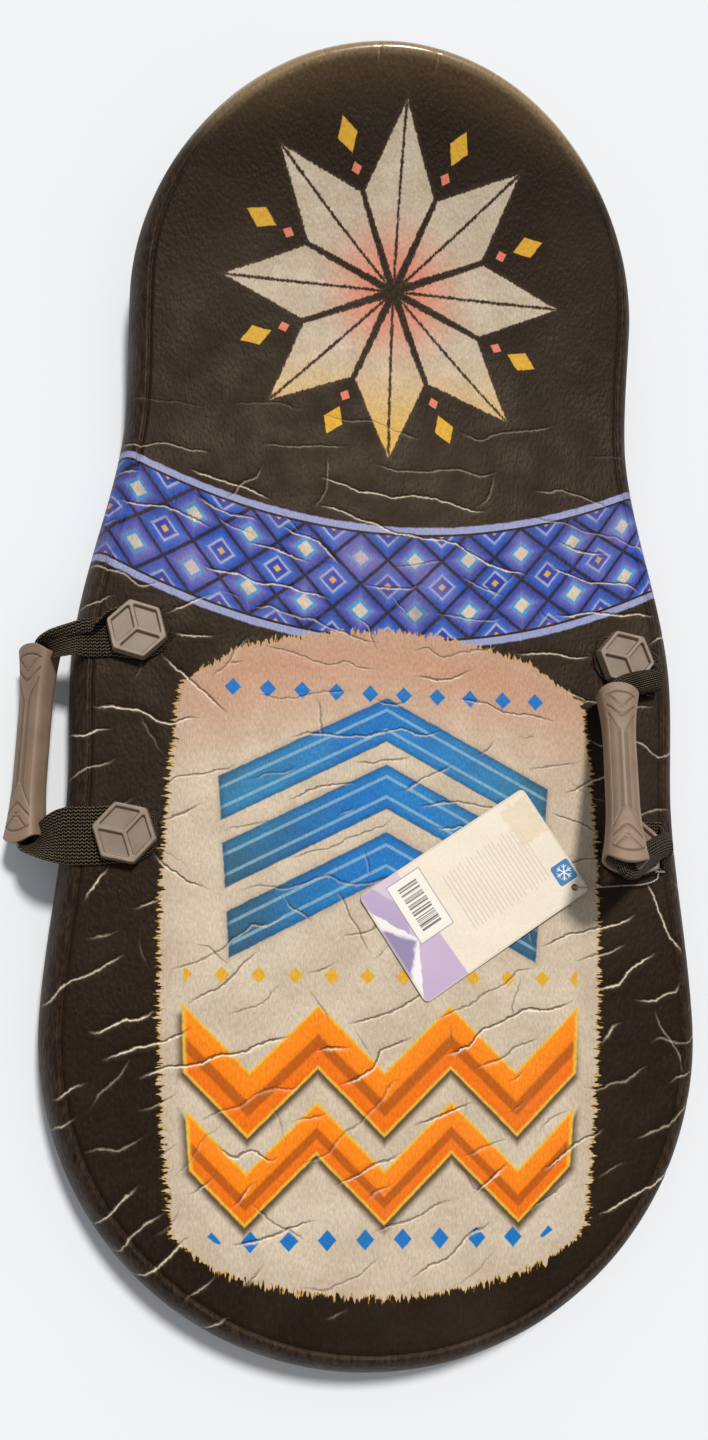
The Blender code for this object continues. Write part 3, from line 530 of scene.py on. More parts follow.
def deckPaint():
    d = design
    paint = Paint("deckPrint", Roughness=0.45, Specular_IOR_Level=0.19, Specular_Tint=(1.0, 0.82, 0.64, 1),
                  Coat_Roughness=0.20, Coat_Tint=(1.0, 0.93, 0.80, 1))
    spot = paint.where()
    xm, ym, _ = paint.parts(spot)
    x, y = xm * 1000, ym * 1000
    ax = abs(x)
    soft = paint.grain(spot, 170, 3.0, 0.62) - 0.5
    fray = soft * 8

    # dark ground, with short strokes of ink and broad clouds
    stroke = paint.grain(paint.mapped(spot, turn=(0, 0, 0.25), stretch=(1, 0.16, 1)), 700, 2.0, 0.6)
    stroked, clouded = (tuple(c * lift for c in d["dark"]) for lift in d["lifts"])
    ground = paint.layers(d["dark"], (stroke.ramp(0.45, 0.75), stroked),
                          (paint.grain(spot, 7, 3.0).fade(0.4, 0.75, 0.5), clouded))

    # nose: a star of eight petals, each parted along its middle, with a gem and a bead between them
    dy = y - d["starY"]
    radius = (x * x + dy * dy).math("SQRT")
    turn = dy.math("ARCTAN2", x).fold(pi / 8)
    u, v = radius * turn.math("COSINE"), radius * turn.math("SINE")
    petal = (v - d["petalWide"] * (1 - abs(u - d["petalMid"]) / d["petalHalf"])).most(d["petalPart"] - v)
    ragged = (paint.grain(paint.mapped(spot, stretch=(1, 0.3, 1)), 620, 2.0, 0.65) - 0.5) * d["ragged"]
    star = (petal + fray * 0.12 + ragged * 0.5).inside(0.6)
    snow = paint.mix(paint.grain(spot, 60, 3.0).ramp(0.35, 0.7), d["snow"], d["cream"])
    warm = paint.layers(snow, (v.fade(2, 15, 0.30), d["petalShade"]),
                        (radius.fade(*d["pinkFade"]), d["pink"]), (y.fade(*d["goldFade"]), d["gold"]))
    colour = paint.layers(ground, (star, warm), ((petal - 2.2).inside(2.4) * (1 - star) * 0.5, d["petalRim"]))
    turned = pi / 8 - turn
    gemAt, gemOff = radius * turned.math("COSINE"), radius * turned.math("SINE")
    for out, long, wide, tint in d["gems"]:
        gem = gemOff / wide + abs(gemAt - out) / long - 1
        colour = paint.mix((gem + soft * 0.25).inside(0.06), colour, d[tint])

    # in front of the middle: a sagging band of diamonds
    sagged = y - x * x * d["sag"] + d["bandDrop"]
    px, py = x.fold(d["diamond"]) / d["diamond"], (sagged - d["bandY"]).fold(d["diamond"]) / d["diamond"]
    cell = px + py + soft * 0.06  # 0 in the middle of a diamond, 1 on its edge, 2 midway to the next ones
    inDiamond = paint.layers(d["bandBlue"], (cell.ramp(0.95, 0.15), d["bandLight"]),
                             ((cell - 0.50).inside(0.05), d["bandRing"]),
                             ((cell - 0.40).inside(0.05), d["bandBlue"]),
                             ((cell - 0.14).inside(0.04), d["gold"]))
    between = paint.layers(d["bandBlue"], (cell.ramp(1.05, 1.9), d["lavender"]),
                           ((1.52 - cell).inside(0.05), d["bandSquare"]),
                           ((1.70 - cell).inside(0.05), d["cream"]))
    band = paint.layers(inDiamond, (cell.ramp(0.98, 1.02), between),
                        (paint.grain(spot, 22, 2.0).fade(0.45, 0.75, 0.45), d["lavender"]),
                        (paint.grain(spot, 31, 2.0).fade(0.45, 0.75, 0.45), d["bandDeep"]),
                        (abs(cell - 1).fade(0.12, 0.05, 0.92), d["dark"]))
    bandEdge = abs(sagged - d["bandY"]) - d["bandHalf"]
    band = paint.layers(d["bandEdge"], ((bandEdge + 5.5).inside(0.5), band),
                        (abs(bandEdge + 6.2).ramp(1.2, 0.6), d["dark"]))
    colour = paint.mix((bandEdge + fray * 0.25).inside(0.7), colour, band)

    # middle and tail: a pale panel with a ragged golden edge
    off = abs(y - d["panelY"])
    sideOff = ax - d["panelWide"] + (y + d["waistDown"]) * (y + d["waistDown"]) * d["waist"]
    endOff = off - d["panelHigh"] + ax * ax * d["endBow"]
    panel = sideOff.most(endOff).most(ax * d["cornerSlope"] + off - d["cornerOut"])
    across, along = (paint.grain(paint.mapped(spot, stretch=stretch), 520, 2.0, 0.65)
                     for stretch in ((0.22, 1, 1), (1, 0.22, 1)))
    beside = (sideOff - endOff).ramp(-18, 18)
    rough = panel + (across * beside + along * (1 - beside) - 0.5) * d["panelRagged"] + soft * 5
    field = paint.layers(d["snow"], (paint.grain(spot, 34, 3.0).ramp(0.3, 0.75), d["cream"]),
                         ((y + ax * 0.2).fade(*d["warmFade"]), d["panelWarm"]),
                         (panel.fade(*d["rimFade"]), d["panelRim"]))
    colour = paint.layers(colour, (rough.inside(0.9) * 0.85, d["gold"]),
                          ((rough + 0.7 + soft * 1.5).inside(0.6), field))

    # rows of small diamonds on it
    for middle, high, tint in d["rows"]:
        pitch = d["rowPitch"]
        small = (x + pitch).fold(pitch) / (high * d["rowNarrow"]) + abs(y - middle) / high - 1
        row = small.most((panel + d["rowInset"]) * 0.2)
        colour = paint.mix((row + soft * 0.2).inside(0.08), colour, d[tint])

    # three chevrons
    level = y + ax * d["chevronRise"]
    shift, middle = d["chevronShift"]
    stripe = abs((level + shift).math("MODULO", d["chevronPitch"]) - middle) - d["chevronHalf"]
    down, taper = d["chevronTaper"]
    chevron = stripe.most(abs(level + d["chevronsDown"]) - d["chevronsHalf"]).most(
        ax - d["chevronWide"] - (y + down) * taper)
    rim = chevron + soft * 1.6
    blue = paint.layers(d["blue"], (ax.ramp(10, d["chevronWide"]), d["teal"]),
                        (paint.grain(spot, 16, 2.0).fade(0.4, 0.75, 0.6), d["brightBlue"]),
                        (abs(stripe + 8.5).fade(1.5, 0.9, 0.6), d["paleBlue"]),
                        (rim.fade(-5, 0, 0.55), d["deepBlue"]))
    colour = paint.layers(colour, (rim.inside(5) * 0.6, d["chevronShadow"]), (rim.inside(0.6), blue))

    # two zigzag stripes, each with a shadow and a rim
    wave = y + (x + d["zigPitch"]).fold(d["zigPitch"]) * d["zigRise"]
    inset, underInset = d["zigInset"]
    for middle, deep in d["zigzags"]:
        zig = (abs(wave - middle) - deep).most(panel + inset) + soft * 1.4
        under = (abs(wave - middle + 5) - deep).most(abs(x + 2) - d["zigWide"]).most(panel + underInset)
        level = wave - middle
        fill = paint.layers(d["orange"][0], (level.ramp(deep, -deep), d["orange"][1]),
                            (abs(level + 3).fade(deep * 0.30, deep * 0.14, 0.75), d["deepOrange"]))
        colour = paint.layers(colour, (under.inside(3.5) * 0.9, d["zigShadow"]),
                              (zig.inside(0.9), d["zigRim"]), ((zig + 2.0).inside(1.4), fill))

    # painted sheen over the rails, and a painted highlight on the rim and crest, most of all round the nose
    onRail, onCrest, nearRim = (paint.attribute(name) for name in ("onRail", "onCrest", "nearRim"))
    sheenGrain = paint.grain(paint.mapped(spot, stretch=(1, 0.3, 1)), 420, 3.0, 0.7)
    nose = y - x * x * d["noseBow"]
    atNose = nose.ramp(*d["noseFade"])
    colour = paint.layers(colour, (onRail * sheenGrain.ramp(0.35, 0.75) * 0.55, d["railPaintedSheen"]),
                          (nearRim * nearRim * atNose * sheenGrain.ramp(0.1, 0.7, 0.35, 0.9), d["rimPaintedHighlight"]),
                          (onCrest * nearRim * atNose * sheenGrain.ramp(0.15, 0.5) * 0.85, d["crestPaintedHighlight"]))

    # ink speckle and dust
    speck = paint.grain(paint.mapped(spot, stretch=(1, 0.35, 1)), 760, 2.0, 0.7)
    mottle = paint.mix(speck.ramp(0.3, 0.7), d["speck"], (1.0, 1.0, 1.0))
    colour = paint.mix(1.0, colour, mottle, "MULTIPLY")
    colour = paint.mix(paint.grain(spot, 9, 4.0, 0.6).fade(0.45, 0.8, 0.03), colour, d["dust"])

    # creases: a sunk fold with a raised lip, with painted shade in the fold and a painted highlight on the
    # lip
    def ridge(offset): return 1 / (1 + offset * offset * offset * offset)

    relief = 0.0
    jag = (paint.grain(spot, 190, 2.0, 0.6) - 0.5) * d["jag"]
    for family, share in (("long", 1.0), ("short", 0.85)):
        side = paint.attribute(f"{family}Side") + jag
        power = paint.attribute(f"{family}Power") * share
        drop = ridge((side - d["creaseAt"]) / d["creaseHalf"])
        lip = ridge((side + d["lipAt"]) / d["creaseHalf"])
        colour = paint.layers(colour, (drop * power * d["creaseShows"], d["creasePaintedShade"]),
                              (lip * power * power * d["creaseShows"], d["creasePaintedHighlight"]))
        relief = relief + (lip * d["lipHigh"] - drop * d["creaseDeep"]) * power
    paint.feed("Base Color", colour)
    fine = paint.grain(paint.mapped(spot, turn=(0, 0, 0.5), stretch=(1, 0.55, 1)), 520, 3.0, 0.6, 0.4)
    pebble = paint.cells(paint.mapped(spot, stretch=(1, 0.62, 1)), 430, "SMOOTH_F1").ramp(0.15, 0.65)
    paint.feed("Roughness", paint.grain(spot, 40, 3.0).ramp(0.3, 0.7, 0.48, 0.60))
    paint.feed("Coat Weight", onCrest * nose.ramp(*d["noseCoat"]))
    paint.bump((fine - 0.5) * 0.36 - pebble * 0.14 + relief)
    return paint.finish


makeDeckCover()

# webbing straps, in metres; a handle swings on two folds, an inner one on the deck and an outer one
straps = {"wide": 0.038, "gathered": 0.033, "thick": 0.0017, "tabEnd": 0.0225, "foldOut": 0.0265,
          "foldHeight": 0.0463, "link": 0.012, "spacing": 0.138, "middleY": -0.056,
          "gripLong": 0.136, "inGrip": 0.014, "mouthIn": 0.004, "tension": 0.62, "step": 0.0009, "across": 30,
          "blendHalf": 0.0042, "round": 0.0024, "roundEnd": 0.019, "edges": (0.45, 0.9), "wave": 0.00012,
          "skewFrom": 0.35, "skewAtFold": 0.85, "curl": radians(300), "foldSharp": 26, "narrowest": 0.0150,
          "steps": (60, 14, 90, 16), "turnedBy": 0.85,  # steps of the tab, link, leg and grip
          # stages along the strap: -2 its end, -1 and 0 the folds, 1 the grip's mouth, 2 inside the grip
          "parting": -0.5, "foldsBefore": 0.4,
          "threads": 9, "threadThick": 0.00045, "threadFan": 1.1, "threadBend": 0.35,
          "threadStep": (0.0004, 0.0009), "threadSteps": 9, "threadRise": 0.00009}
handles = {"left": {"side": -1, "reach": 0.0275, "sink": 0.0215, "link": radians(-3), "handle": 0.0,
                    "roll": radians(40), "shift": 0.0080, "pitch": 0.0, "yaw": 0.0, "folded": False},
           "right": {"side": 1, "reach": 0.0460, "sink": 0.0222, "link": radians(95), "handle": pi,
                     "roll": radians(-10), "shift": 0.0215, "pitch": radians(18), "yaw": radians(8),
                     "folded": True}}
# the weave, in millimetres along and across the webbing
# the gap colour is painted shade between the rows; the thread and fuzz colours are painted light and a
# painted highlight on the rows' crests
weave = {"gap": (0.0008, 0.0006, 0.0004), "thread": (0.028, 0.021, 0.013), "fuzzAndHighlight": (0.27, 0.215, 0.14),
         "worn": (0.010, 0.008, 0.006), "rib": 1.5, "row": 0.86, "slant": 1.3, "wobble": 0.5}


def cloth():
    w = weave
    paint = Paint("ribbedWebbing", Roughness=0.86, Specular_IOR_Level=0.1)
    along, across = paint.attribute("webAlong"), paint.attribute("webAcross")
    spot = paint.where()
    wobble = (paint.grain(spot, 240, 2.0) - 0.5) * w["wobble"]
    zigzag = (along + wobble).fold(w["rib"]) / w["rib"]
    # 1 on a row's thread, 0 between two rows
    row = (across * w["row"] + wobble * 0.4 + zigzag * w["slant"]).fold(1.0)
    thread = row.ramp(0.40, 0.80) * (0.35 + abs(zigzag - 0.5).fade(0.5, 0.36, 0.65))
    fuzzAndHighlight = paint.grain(spot, 2600, 2.0, 0.7)
    worn = paint.grain(spot, 90, 3.0)
    # painted shade in the gaps, painted light on the rows' crests and a painted highlight on them where the
    # fine grain allows, with worn patches
    paint.feed("Base Color", paint.layers(
        w["gap"], (thread, w["thread"]), (thread.ramp(0.55, 0.95) * fuzzAndHighlight.ramp(0.25, 0.65) * 0.80, w["fuzzAndHighlight"]),
        (worn.fade(0.45, 0.75, 0.35), w["worn"])))
    paint.feed("Roughness", fuzzAndHighlight.ramp(0.2, 0.8, 0.72, 0.95))
    paint.bump(thread * 0.75 + fuzzAndHighlight * 0.12)
    return paint.finish


webbing = cloth()


def handleFrames(spec):  # where the two folds stand at rest, the second one inside the first
    side = spec["side"]
    inner = Matrix.Translation((side * (board["anchorX"] + straps["foldOut"]), straps["middleY"],
                                straps["foldHeight"])) @ Matrix.Rotation(-side * spec["link"], 4, "Y")
    outer = inner @ Matrix.Translation((side * straps["link"], 0, 0)) @ Matrix.Rotation(
        -side * (spec["handle"] - spec["link"]), 4, "Y")
    return inner, outer


def loopRoute(spec, style, sign):  # one leg from the outer fold into the grip, in the handle's own frame
    s = straps
    half, pitch, yaw = s["gripLong"] / 2, spec["pitch"], spec["yaw"]
    outward = Vector((-sign * sin(yaw) * cos(pitch), cos(yaw) * cos(pitch), sign * sin(pitch)))
    mouth = Vector((spec["reach"], -sign * spec["shift"], -spec["sink"])) + outward * (half - s["mouthIn"])
    start = Vector((0, s["spacing"] / 2 - style["skew"], 0))
    ahead = Vector(style["ahead"]) * (mouth.x * s["tension"])
    corners = [start, start + ahead, mouth + outward * style["bulge"], mouth]
    route = []
    for t in np.linspace(0, 1, s["steps"][2]):
        spot = sum((corner * weight for corner, weight in zip(
            corners, ((1 - t) ** 3, 3 * t * (1 - t) ** 2, 3 * t * t * (1 - t), t ** 3))), Vector((0, 0, 0)))
        turn = style["twist"] * ease(min(1, t / s["turnedBy"]))
        flatTurn = style["flatTurn"] * ease(t)
        across = Vector((sin(flatTurn) * cos(turn), cos(flatTurn) * cos(turn), sin(turn)))
        route.append((spot, across, t))
    for share in np.linspace(0, 1, s["steps"][3])[1:]:
        route.append((mouth - outward * s["inGrip"] * share, across, 1 + share))
    return route


def strapRoute(spec, style, sign):  # the whole strap at rest, from its end under the cap into the grip
    s = straps
    side = spec["side"]
    inner, outer = handleFrames(spec)
    flip = Vector((side, sign, 1))
    y, atFold = s["spacing"] / 2, s["skewAtFold"]
    route = []
    for share in np.linspace(0, 1, s["steps"][0]):
        x = board["anchorX"] - s["tabEnd"] + (s["foldOut"] + s["tabEnd"]) * share
        aside = style["skew"] * atFold * ease(max(0, (share - s["skewFrom"]) / (1 - s["skewFrom"])))
        route.append((Vector((side * x, s["middleY"] + sign * (y - aside), s["foldHeight"])),
                      Vector((0, sign, 0)), -2 + share))
    for share in np.linspace(0, 1, s["steps"][1])[1:-1]:
        aside = style["skew"] * (atFold + (1 - atFold) * share)
        spot = inner @ Vector((side * s["link"] * share, sign * (y - aside), 0))
        route.append((spot, Vector((0, sign, 0)), -1 + share))
    for spot, across, share in loopRoute(spec, style, sign):
        route.append((outer @ (spot * flip), (outer.to_3x3() @ (across * flip)), share))
    points = np.array([spot for spot, _, _ in route])
    sides = np.array([across for _, across, _ in route])
    stage = np.array([share for _, _, share in route])
    run = np.concatenate([[0], np.cumsum(np.linalg.norm(np.diff(points, axis=0), axis=1))])
    even = np.arange(0, run[-1], s["step"])
    points = np.stack([np.interp(even, run, points[:, i]) for i in range(3)], 1)
    sides = np.stack([np.interp(even, run, sides[:, i]) for i in range(3)], 1)
    stage = np.interp(even, run, stage)
    reach = int(3 * s["round"] / s["step"])
    kernel = np.exp(-0.5 * (np.arange(-reach, reach + 1) * s["step"] / s["round"]) ** 2)
    kernel /= kernel.sum()
    smoothed = []
    for column in (*points.T, *sides.T):  # round the corners, without moving the ends
        padded = np.concatenate([2 * column[0] - column[reach:0:-1], column,
                                 2 * column[-1] - column[-2:-reach - 2:-1]])
        smoothed.append(np.convolve(padded, kernel, "valid"))
    points, sides = np.stack(smoothed[:3], 1), np.stack(smoothed[3:], 1)
    runs = np.gradient(points, axis=0)
    runs /= np.linalg.norm(runs, axis=1)[:, None]
    sides -= (sides * runs).sum(1)[:, None] * runs
    sides /= np.linalg.norm(sides, axis=1)[:, None]
    ups = np.cross(runs, sides)
    if side * sign < 0:
        ups = -ups
    joints = [np.array(m.translation) for m in (inner, outer)]
    return points, sides, ups, stage, even, joints


def sectionAt(stage, style):  # the strap's section as points across and up, for one place along it
    s = straps
    gather = ease(min(1, max(0, (stage - style["from"]) / (style["to"] - style["from"]))))
    count = s["across"]
    wide = s["wide"] + (s["gathered"] - s["wide"]) * gather
    q = np.linspace(-1, 1, count)
    curl = s["curl"] * gather * style["curl"]
    turn = curl / 2 * q * np.abs(q) ** style["sharp"]
    for place, angle, start, end in style["folds"]:
        amount = radians(angle) * ease(min(1, max(0, (stage - start) / (end - start))))
        outside = 1 + np.exp(-(q * np.sign(place) - abs(place)) * s["foldSharp"])
        turn = turn + np.sign(place) * amount / outside
    turn = turn + style["wave"] * gather * np.sin(q * 5 + stage * 4)
    du, dw = np.cos(turn), np.sin(turn)
    size = wide / (count - 1)
    u = np.concatenate([[0], np.cumsum((du[1:] + du[:-1]) / 2)]) * size
    w = np.concatenate([[0], np.cumsum((dw[1:] + dw[:-1]) / 2)]) * size
    u = u - (u.max() + u.min()) / 2
    w = (w - w.min()) * (1 - style["flat"] * gather)
    limit = (s["wide"] - (s["wide"] - s["narrowest"]) * gather) / max(1e-6, u.max() - u.min())
    return u * min(1, limit), w, turn


strapStyles = {  # how each end of a strap gathers, leans and folds on its way into the grip
    ("left", 1): {"curl": 0.62, "sharp": 0.4, "wave": 0.10, "flat": 0.40, "from": -0.5, "to": 0.7,
                  "skew": 0.0075, "ahead": (0.9, -0.25, -0.35), "bulge": 0.010, "twist": radians(80),
                  "flatTurn": 0.0, "folds": ((0.42, 172, -1.75, -0.65),)},
    ("left", -1): {"curl": 0.75, "sharp": 0.25, "wave": 0.14, "flat": 0.45, "from": -0.1, "to": 0.8,
                   "skew": -0.003, "ahead": (0.85, 0.10, -0.35), "bulge": 0.012, "twist": radians(70),
                   "flatTurn": radians(10), "folds": ()},
    ("right", 1): {"curl": 0.75, "sharp": 0.5, "wave": 0.16, "flat": 0.45, "from": -1.6, "to": -0.2,
                   "skew": 0.0150, "ahead": (0.55, -0.12, 0.0), "bulge": 0.0065, "twist": radians(-35),
                   "flatTurn": radians(40), "folds": ()},
    ("right", -1): {"curl": 0.8, "sharp": 0.3, "wave": 0.30, "flat": 0.45, "from": -1.5, "to": 0.2,
                    "skew": 0.0030, "ahead": (0.55, 0.1, -0.4), "bulge": 0.012, "twist": radians(-40),
                    "flatTurn": radians(30), "folds": ()},
}


def frayedThreads(label, sign):  # loose threads at the strap's round end, as points and faces
    s, side = straps, handles[label]["side"]
    draw = np.random.default_rng(5 + side * 2 + sign)
    sides, steps, reach = 5, s["threadSteps"], s["tabEnd"] - 0.0035
    centre = Vector((side * (board["anchorX"] - s["tabEnd"] + reach),
                     s["middleY"] + sign * s["spacing"] / 2, s["foldHeight"] - 0.0003))
    points, faces = [], []
    for _ in range(s["threads"]):
        heading = draw.uniform(-s["threadFan"], s["threadFan"])
        spot = centre + Vector((-side * cos(heading), sin(heading), 0)) * (reach - 0.001)
        bend, step = draw.uniform(-s["threadBend"], s["threadBend"]), draw.uniform(*s["threadStep"])
        first = len(points)
        for k in range(steps):
            ahead = Vector((-side * cos(heading), sin(heading), 0))
            aside = ahead.cross(Vector((0, 0, 1)))
            size = s["threadThick"] / 2 * (1 - 0.5 * k / steps)
            points += [spot + aside * u + Vector((0, 0, w)) for u, w in circle(size, sides)]
            spot = spot + ahead * step + Vector((0, 0, s["threadRise"] * cos(k * 1.1)))
            heading += bend
        faces += skin(steps, sides, first) + lids(steps, sides, first)
    return np.array(points), faces


def makeStrap(label, sign):
    s, spec, style = straps, handles[label], strapStyles[label, sign]
    points, sides, ups, stage, even, joints = strapRoute(spec, style, sign)
    count, half, reach = s["across"], s["thick"] / 2, s["roundEnd"]
    rings, alongs, acrosses = [], [], []
    q = np.linspace(0, s["wide"] * 1000, count)
    thin = np.full(count, half)
    for i, share in enumerate(s["edges"]):
        thin[i] = thin[-1 - i] = half * share
    for spot, across, up, share, distance in zip(points, sides, ups, stage, even):
        u, w, turn = sectionAt(share, style)
        if share < -1 and distance < reach:  # round end, inboard of the cap
            u = u * sqrt(max(0.0, 1 - ((reach - distance) / reach) ** 2)) * 0.999 + u * 0.001
        lift = s["wave"] * np.sin(distance * 900 + np.arange(count) * 0.5)
        centre = spot + np.outer(u, across) + np.outer(w + lift * 0.3, up)
        normal = np.outer(-np.sin(turn), across) + np.outer(np.cos(turn), up)
        upper, lower = centre + normal * thin[:, None], centre - normal * thin[:, None]
        rings.append(np.concatenate([upper, lower[::-1]]))
        alongs.append(np.full(2 * count, distance * 1000))
        acrosses.append(np.concatenate([q, q[::-1]]))
    middle = int(np.searchsorted(stage, s["parting"]))
    end = "Front" if sign > 0 else "Rear"
    ends = ((0, middle + 1, ("sled", f"{label}_links"), joints[0], "Base"),
            (middle, len(rings), (f"{label}_links", f"{label}_handle"), joints[1], "Loop"))
    for first, last, bodies, joint, part in ends:
        size = 2 * count
        faces = skin(last - first, size) + lids(last - first, size)
        flat, alongFlat, acrossFlat = (np.concatenate(rows[first:last]) for rows in (rings, alongs, acrosses))
        if part == "Base":
            threads, threadFaces = frayedThreads(label, sign)
            faces += [tuple(i + len(flat) for i in face) for face in threadFaces]
            flat = np.concatenate([flat, threads])
            alongFlat, acrossFlat = (np.concatenate([old, np.full(len(threads), value)])
                                     for old, value in ((alongFlat, 0.0), (acrossFlat, 1.0)))
        piece = meshPiece(f"{label}{end}Strap{part}", flat, faces, webbing)
        setValues(piece, "webAlong", alongFlat)
        setValues(piece, "webAcross", acrossFlat)
        faceOut(piece)
        offAxis = np.linalg.norm((points - joint)[:, [0, 2]], axis=1)
        at = int(np.argmin(offAxis + (stage > s["foldsBefore"]) * 9))  # the fold, never the way back
        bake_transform(piece)
    word = end.lower()
    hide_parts(f"{label}_{word}_strap_tab", f"{label}_strap_link_{word}")
    if sign > 0:
        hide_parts(f"{label}_strap_loop")


for label in handles:
    for sign in (1, -1):
        makeStrap(label, sign)
print("straps made")


# moulded grips, sizes in metres as in the solid
# a line of the relief is (how far from the end, half its width), a slope is (bluntness, steepness)
grips = {"long": 0.136, "endWide": 0.031, "waistWide": 0.021, "endThick": 0.020, "waistThick": 0.017,
         "wall": 0.0024, "crown": 0.0008, "arch": 0.0055, "flareFrom": 0.30, "squared": 3.6, "relief": 0.0011,
         "face": 0.80, "endLine": (0.0075, 0.0006), "innerChevron": (0.0200, 0.0007),
         "outerChevron": (0.0288, 0.0008), "spineLine": 0.0007, "innerSlope": (0.004, 0.0150),
         "outerSlope": (0.040, 0.0135), "bandsFrom": 0.0350, "bandDeep": 0.35, "spine": (0.24, 0.56),
         "spineOpens": (0.0440, 0.0100), "soft": 0.00035, "carvedFrom": 0.6, "rows": 230, "around": 128,
         "lipOut": 0.0005, "lipShares": (0.3, 0.75),
         "inside": (1, 0.95, 0.85, 0.6, 0, -0.6, -0.85, -0.95, -1),
         # painted light on the relief: painted shade in its hollows and a painted highlight on their lips
         "light": (0.242, 0.168, 0.118), "dark": (0.200, 0.138, 0.097), "sunk": (0.074, 0.052, 0.038),
         "raisedHighlight": (0.36, 0.285, 0.215), "scuffed": (0.30, 0.27, 0.235)}


def gripPaint():
    g = grips
    paint = Paint("mouldedGrip", Roughness=0.5, Specular_IOR_Level=0.42)
    spot = paint.where()
    fine, broad = paint.grain(spot, 1500, 2.0, 0.6), paint.grain(spot, 55, 3.0)
    sunk = paint.attribute("sunk")
    onLips = sunk.ramp(0.01, 0.08) * sunk.ramp(0.28, 0.16)
    scuff = paint.grain(paint.mapped(spot, stretch=(3.2, 0.5, 3.2)), 260, 3.0, 0.7)
    # painted shade in the relief's hollows and a painted highlight on their lips, over a broad random tone,
    # with scuffs
    paint.feed("Base Color", paint.layers(
        g["dark"], (broad.ramp(0.3, 0.7), g["light"]), (sunk * 0.62, g["sunk"]), (onLips * 0.35, g["raisedHighlight"]),
        (scuff.fade(0.66, 0.80, 0.3), g["scuffed"])))
    paint.feed("Roughness", fine.ramp(0.25, 0.75, 0.44, 0.58))
    paint.bump(fine * 0.05 + scuff.fade(0.66, 0.80, 0.02))
    return paint.finish


gripPlastic = gripPaint()


def soften(distance, soft):
    return ease(np.clip(0.5 - distance / (2 * soft), 0, 1))


def gripRelief(u, y):  # how far the face is sunk, 0 to 1, at a share across it and a place along it
    g = grips
    wide = (g["waistWide"] + (g["endWide"] - g["waistWide"]) * flareShare(y)) / 2
    fromEnd = g["long"] / 2 - np.abs(y)
    across, end = np.abs(u) * wide, fromEnd - g["arch"] * u ** 2
    frame = across - wide * g["face"]
    inner, outer = (fromEnd + np.sqrt(u ** 2 + blunt) * slope  # along the chevrons
                    for blunt, slope in (g["innerSlope"], g["outerSlope"]))
    endLine, innerLine, outerLine = (np.abs(distance - place) - half for distance, (place, half) in (
        (end, g["endLine"]), (inner, g["innerChevron"]), (outer, g["outerChevron"])))
    narrow, grown = g["spine"]
    opensAt, over = g["spineOpens"]
    spine = wide * (narrow + grown * ease(np.clip((opensAt - outer) / over, 0, 1)))
    lines = np.minimum(endLine, np.maximum(innerLine, g["endLine"][0] - end))
    lines = np.minimum(lines, outerLine)
    lines = np.minimum(lines, np.maximum(np.abs(across - spine) - g["spineLine"], g["bandsFrom"] - outer))
    bands = np.maximum(np.maximum(frame, spine - across), g["bandsFrom"] - outer)
    return np.maximum(soften(np.maximum(lines, frame), g["soft"]), soften(bands, g["soft"]) * g["bandDeep"])


def flareShare(y):
    g = grips
    grown = np.clip((np.abs(y) / (g["long"] / 2) - g["flareFrom"]) / (1 - g["flareFrom"]), 0, None)
    return grown ** 2


def makeGrip(label):
    g, spec = grips, handles[label]
    side = spec["side"]
    count = g["around"]
    turn = np.linspace(0, 2 * pi, count, endpoint=False)
    ux, wz = (np.sign(wave) * np.abs(wave) ** (2 / g["squared"]) for wave in (np.cos(turn), np.sin(turn)))
    rings, sunks = [], []

    def ring(place, shrink, outward=0.0):  # place: -1 at one end, 1 at the other
        y = place * (g["long"] / 2 + outward - g["arch"] * ux ** 2)
        grown = flareShare(y)
        wide = (g["waistWide"] + (g["endWide"] - g["waistWide"]) * grown) / 2 - shrink
        thick = (g["waistThick"] + (g["endThick"] - g["waistThick"]) * grown) / 2 - shrink
        x, z = wide * ux, thick * wz
        top = np.clip(wz, 0, 1) ** 3
        sunk = np.zeros(count)
        if not shrink:
            z = z + g["crown"] * top * (1 - ux ** 2)
            sunk = gripRelief(ux, y) * (wz > g["carvedFrom"])
            z = z - g["relief"] * sunk
        rings.append(np.stack([x, y, z], 1))
        sunks.append(sunk)

    for place in np.linspace(-1, 1, g["rows"]):
        ring(place, 0.0)
    for share in g["lipShares"]:
        ring(1, g["wall"] * share, g["lipOut"])
    for place in g["inside"]:
        ring(place, g["wall"])
    for share in g["lipShares"][::-1]:
        ring(-1, g["wall"] * share, g["lipOut"])
    points = np.concatenate(rings)
    if side < 0:
        points[:, 0] *= -1
    piece = meshPiece(f"{label}MouldedGrip", points, skin(len(rings), count, closed=True), gripPlastic)
    setValues(piece, "sunk", np.concatenate(sunks))
    faceOut(piece)
    roll = side * (spec["roll"] + (pi if spec["folded"] else 0))
    seat = Matrix.Translation((side * spec["reach"], -spec["shift"], -spec["sink"]))
    piece.matrix_world = handleFrames(spec)[1] @ seat @ Matrix.Rotation(side * spec["yaw"], 4, "Z") @ (
        Matrix.Rotation(spec["pitch"], 4, "X") @ Matrix.Rotation(roll, 4, "Y"))
    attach(piece, f"{label}_handle")
    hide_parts(f"{label}_grip")


for label in handles:
    makeGrip(label)
print("grips made")


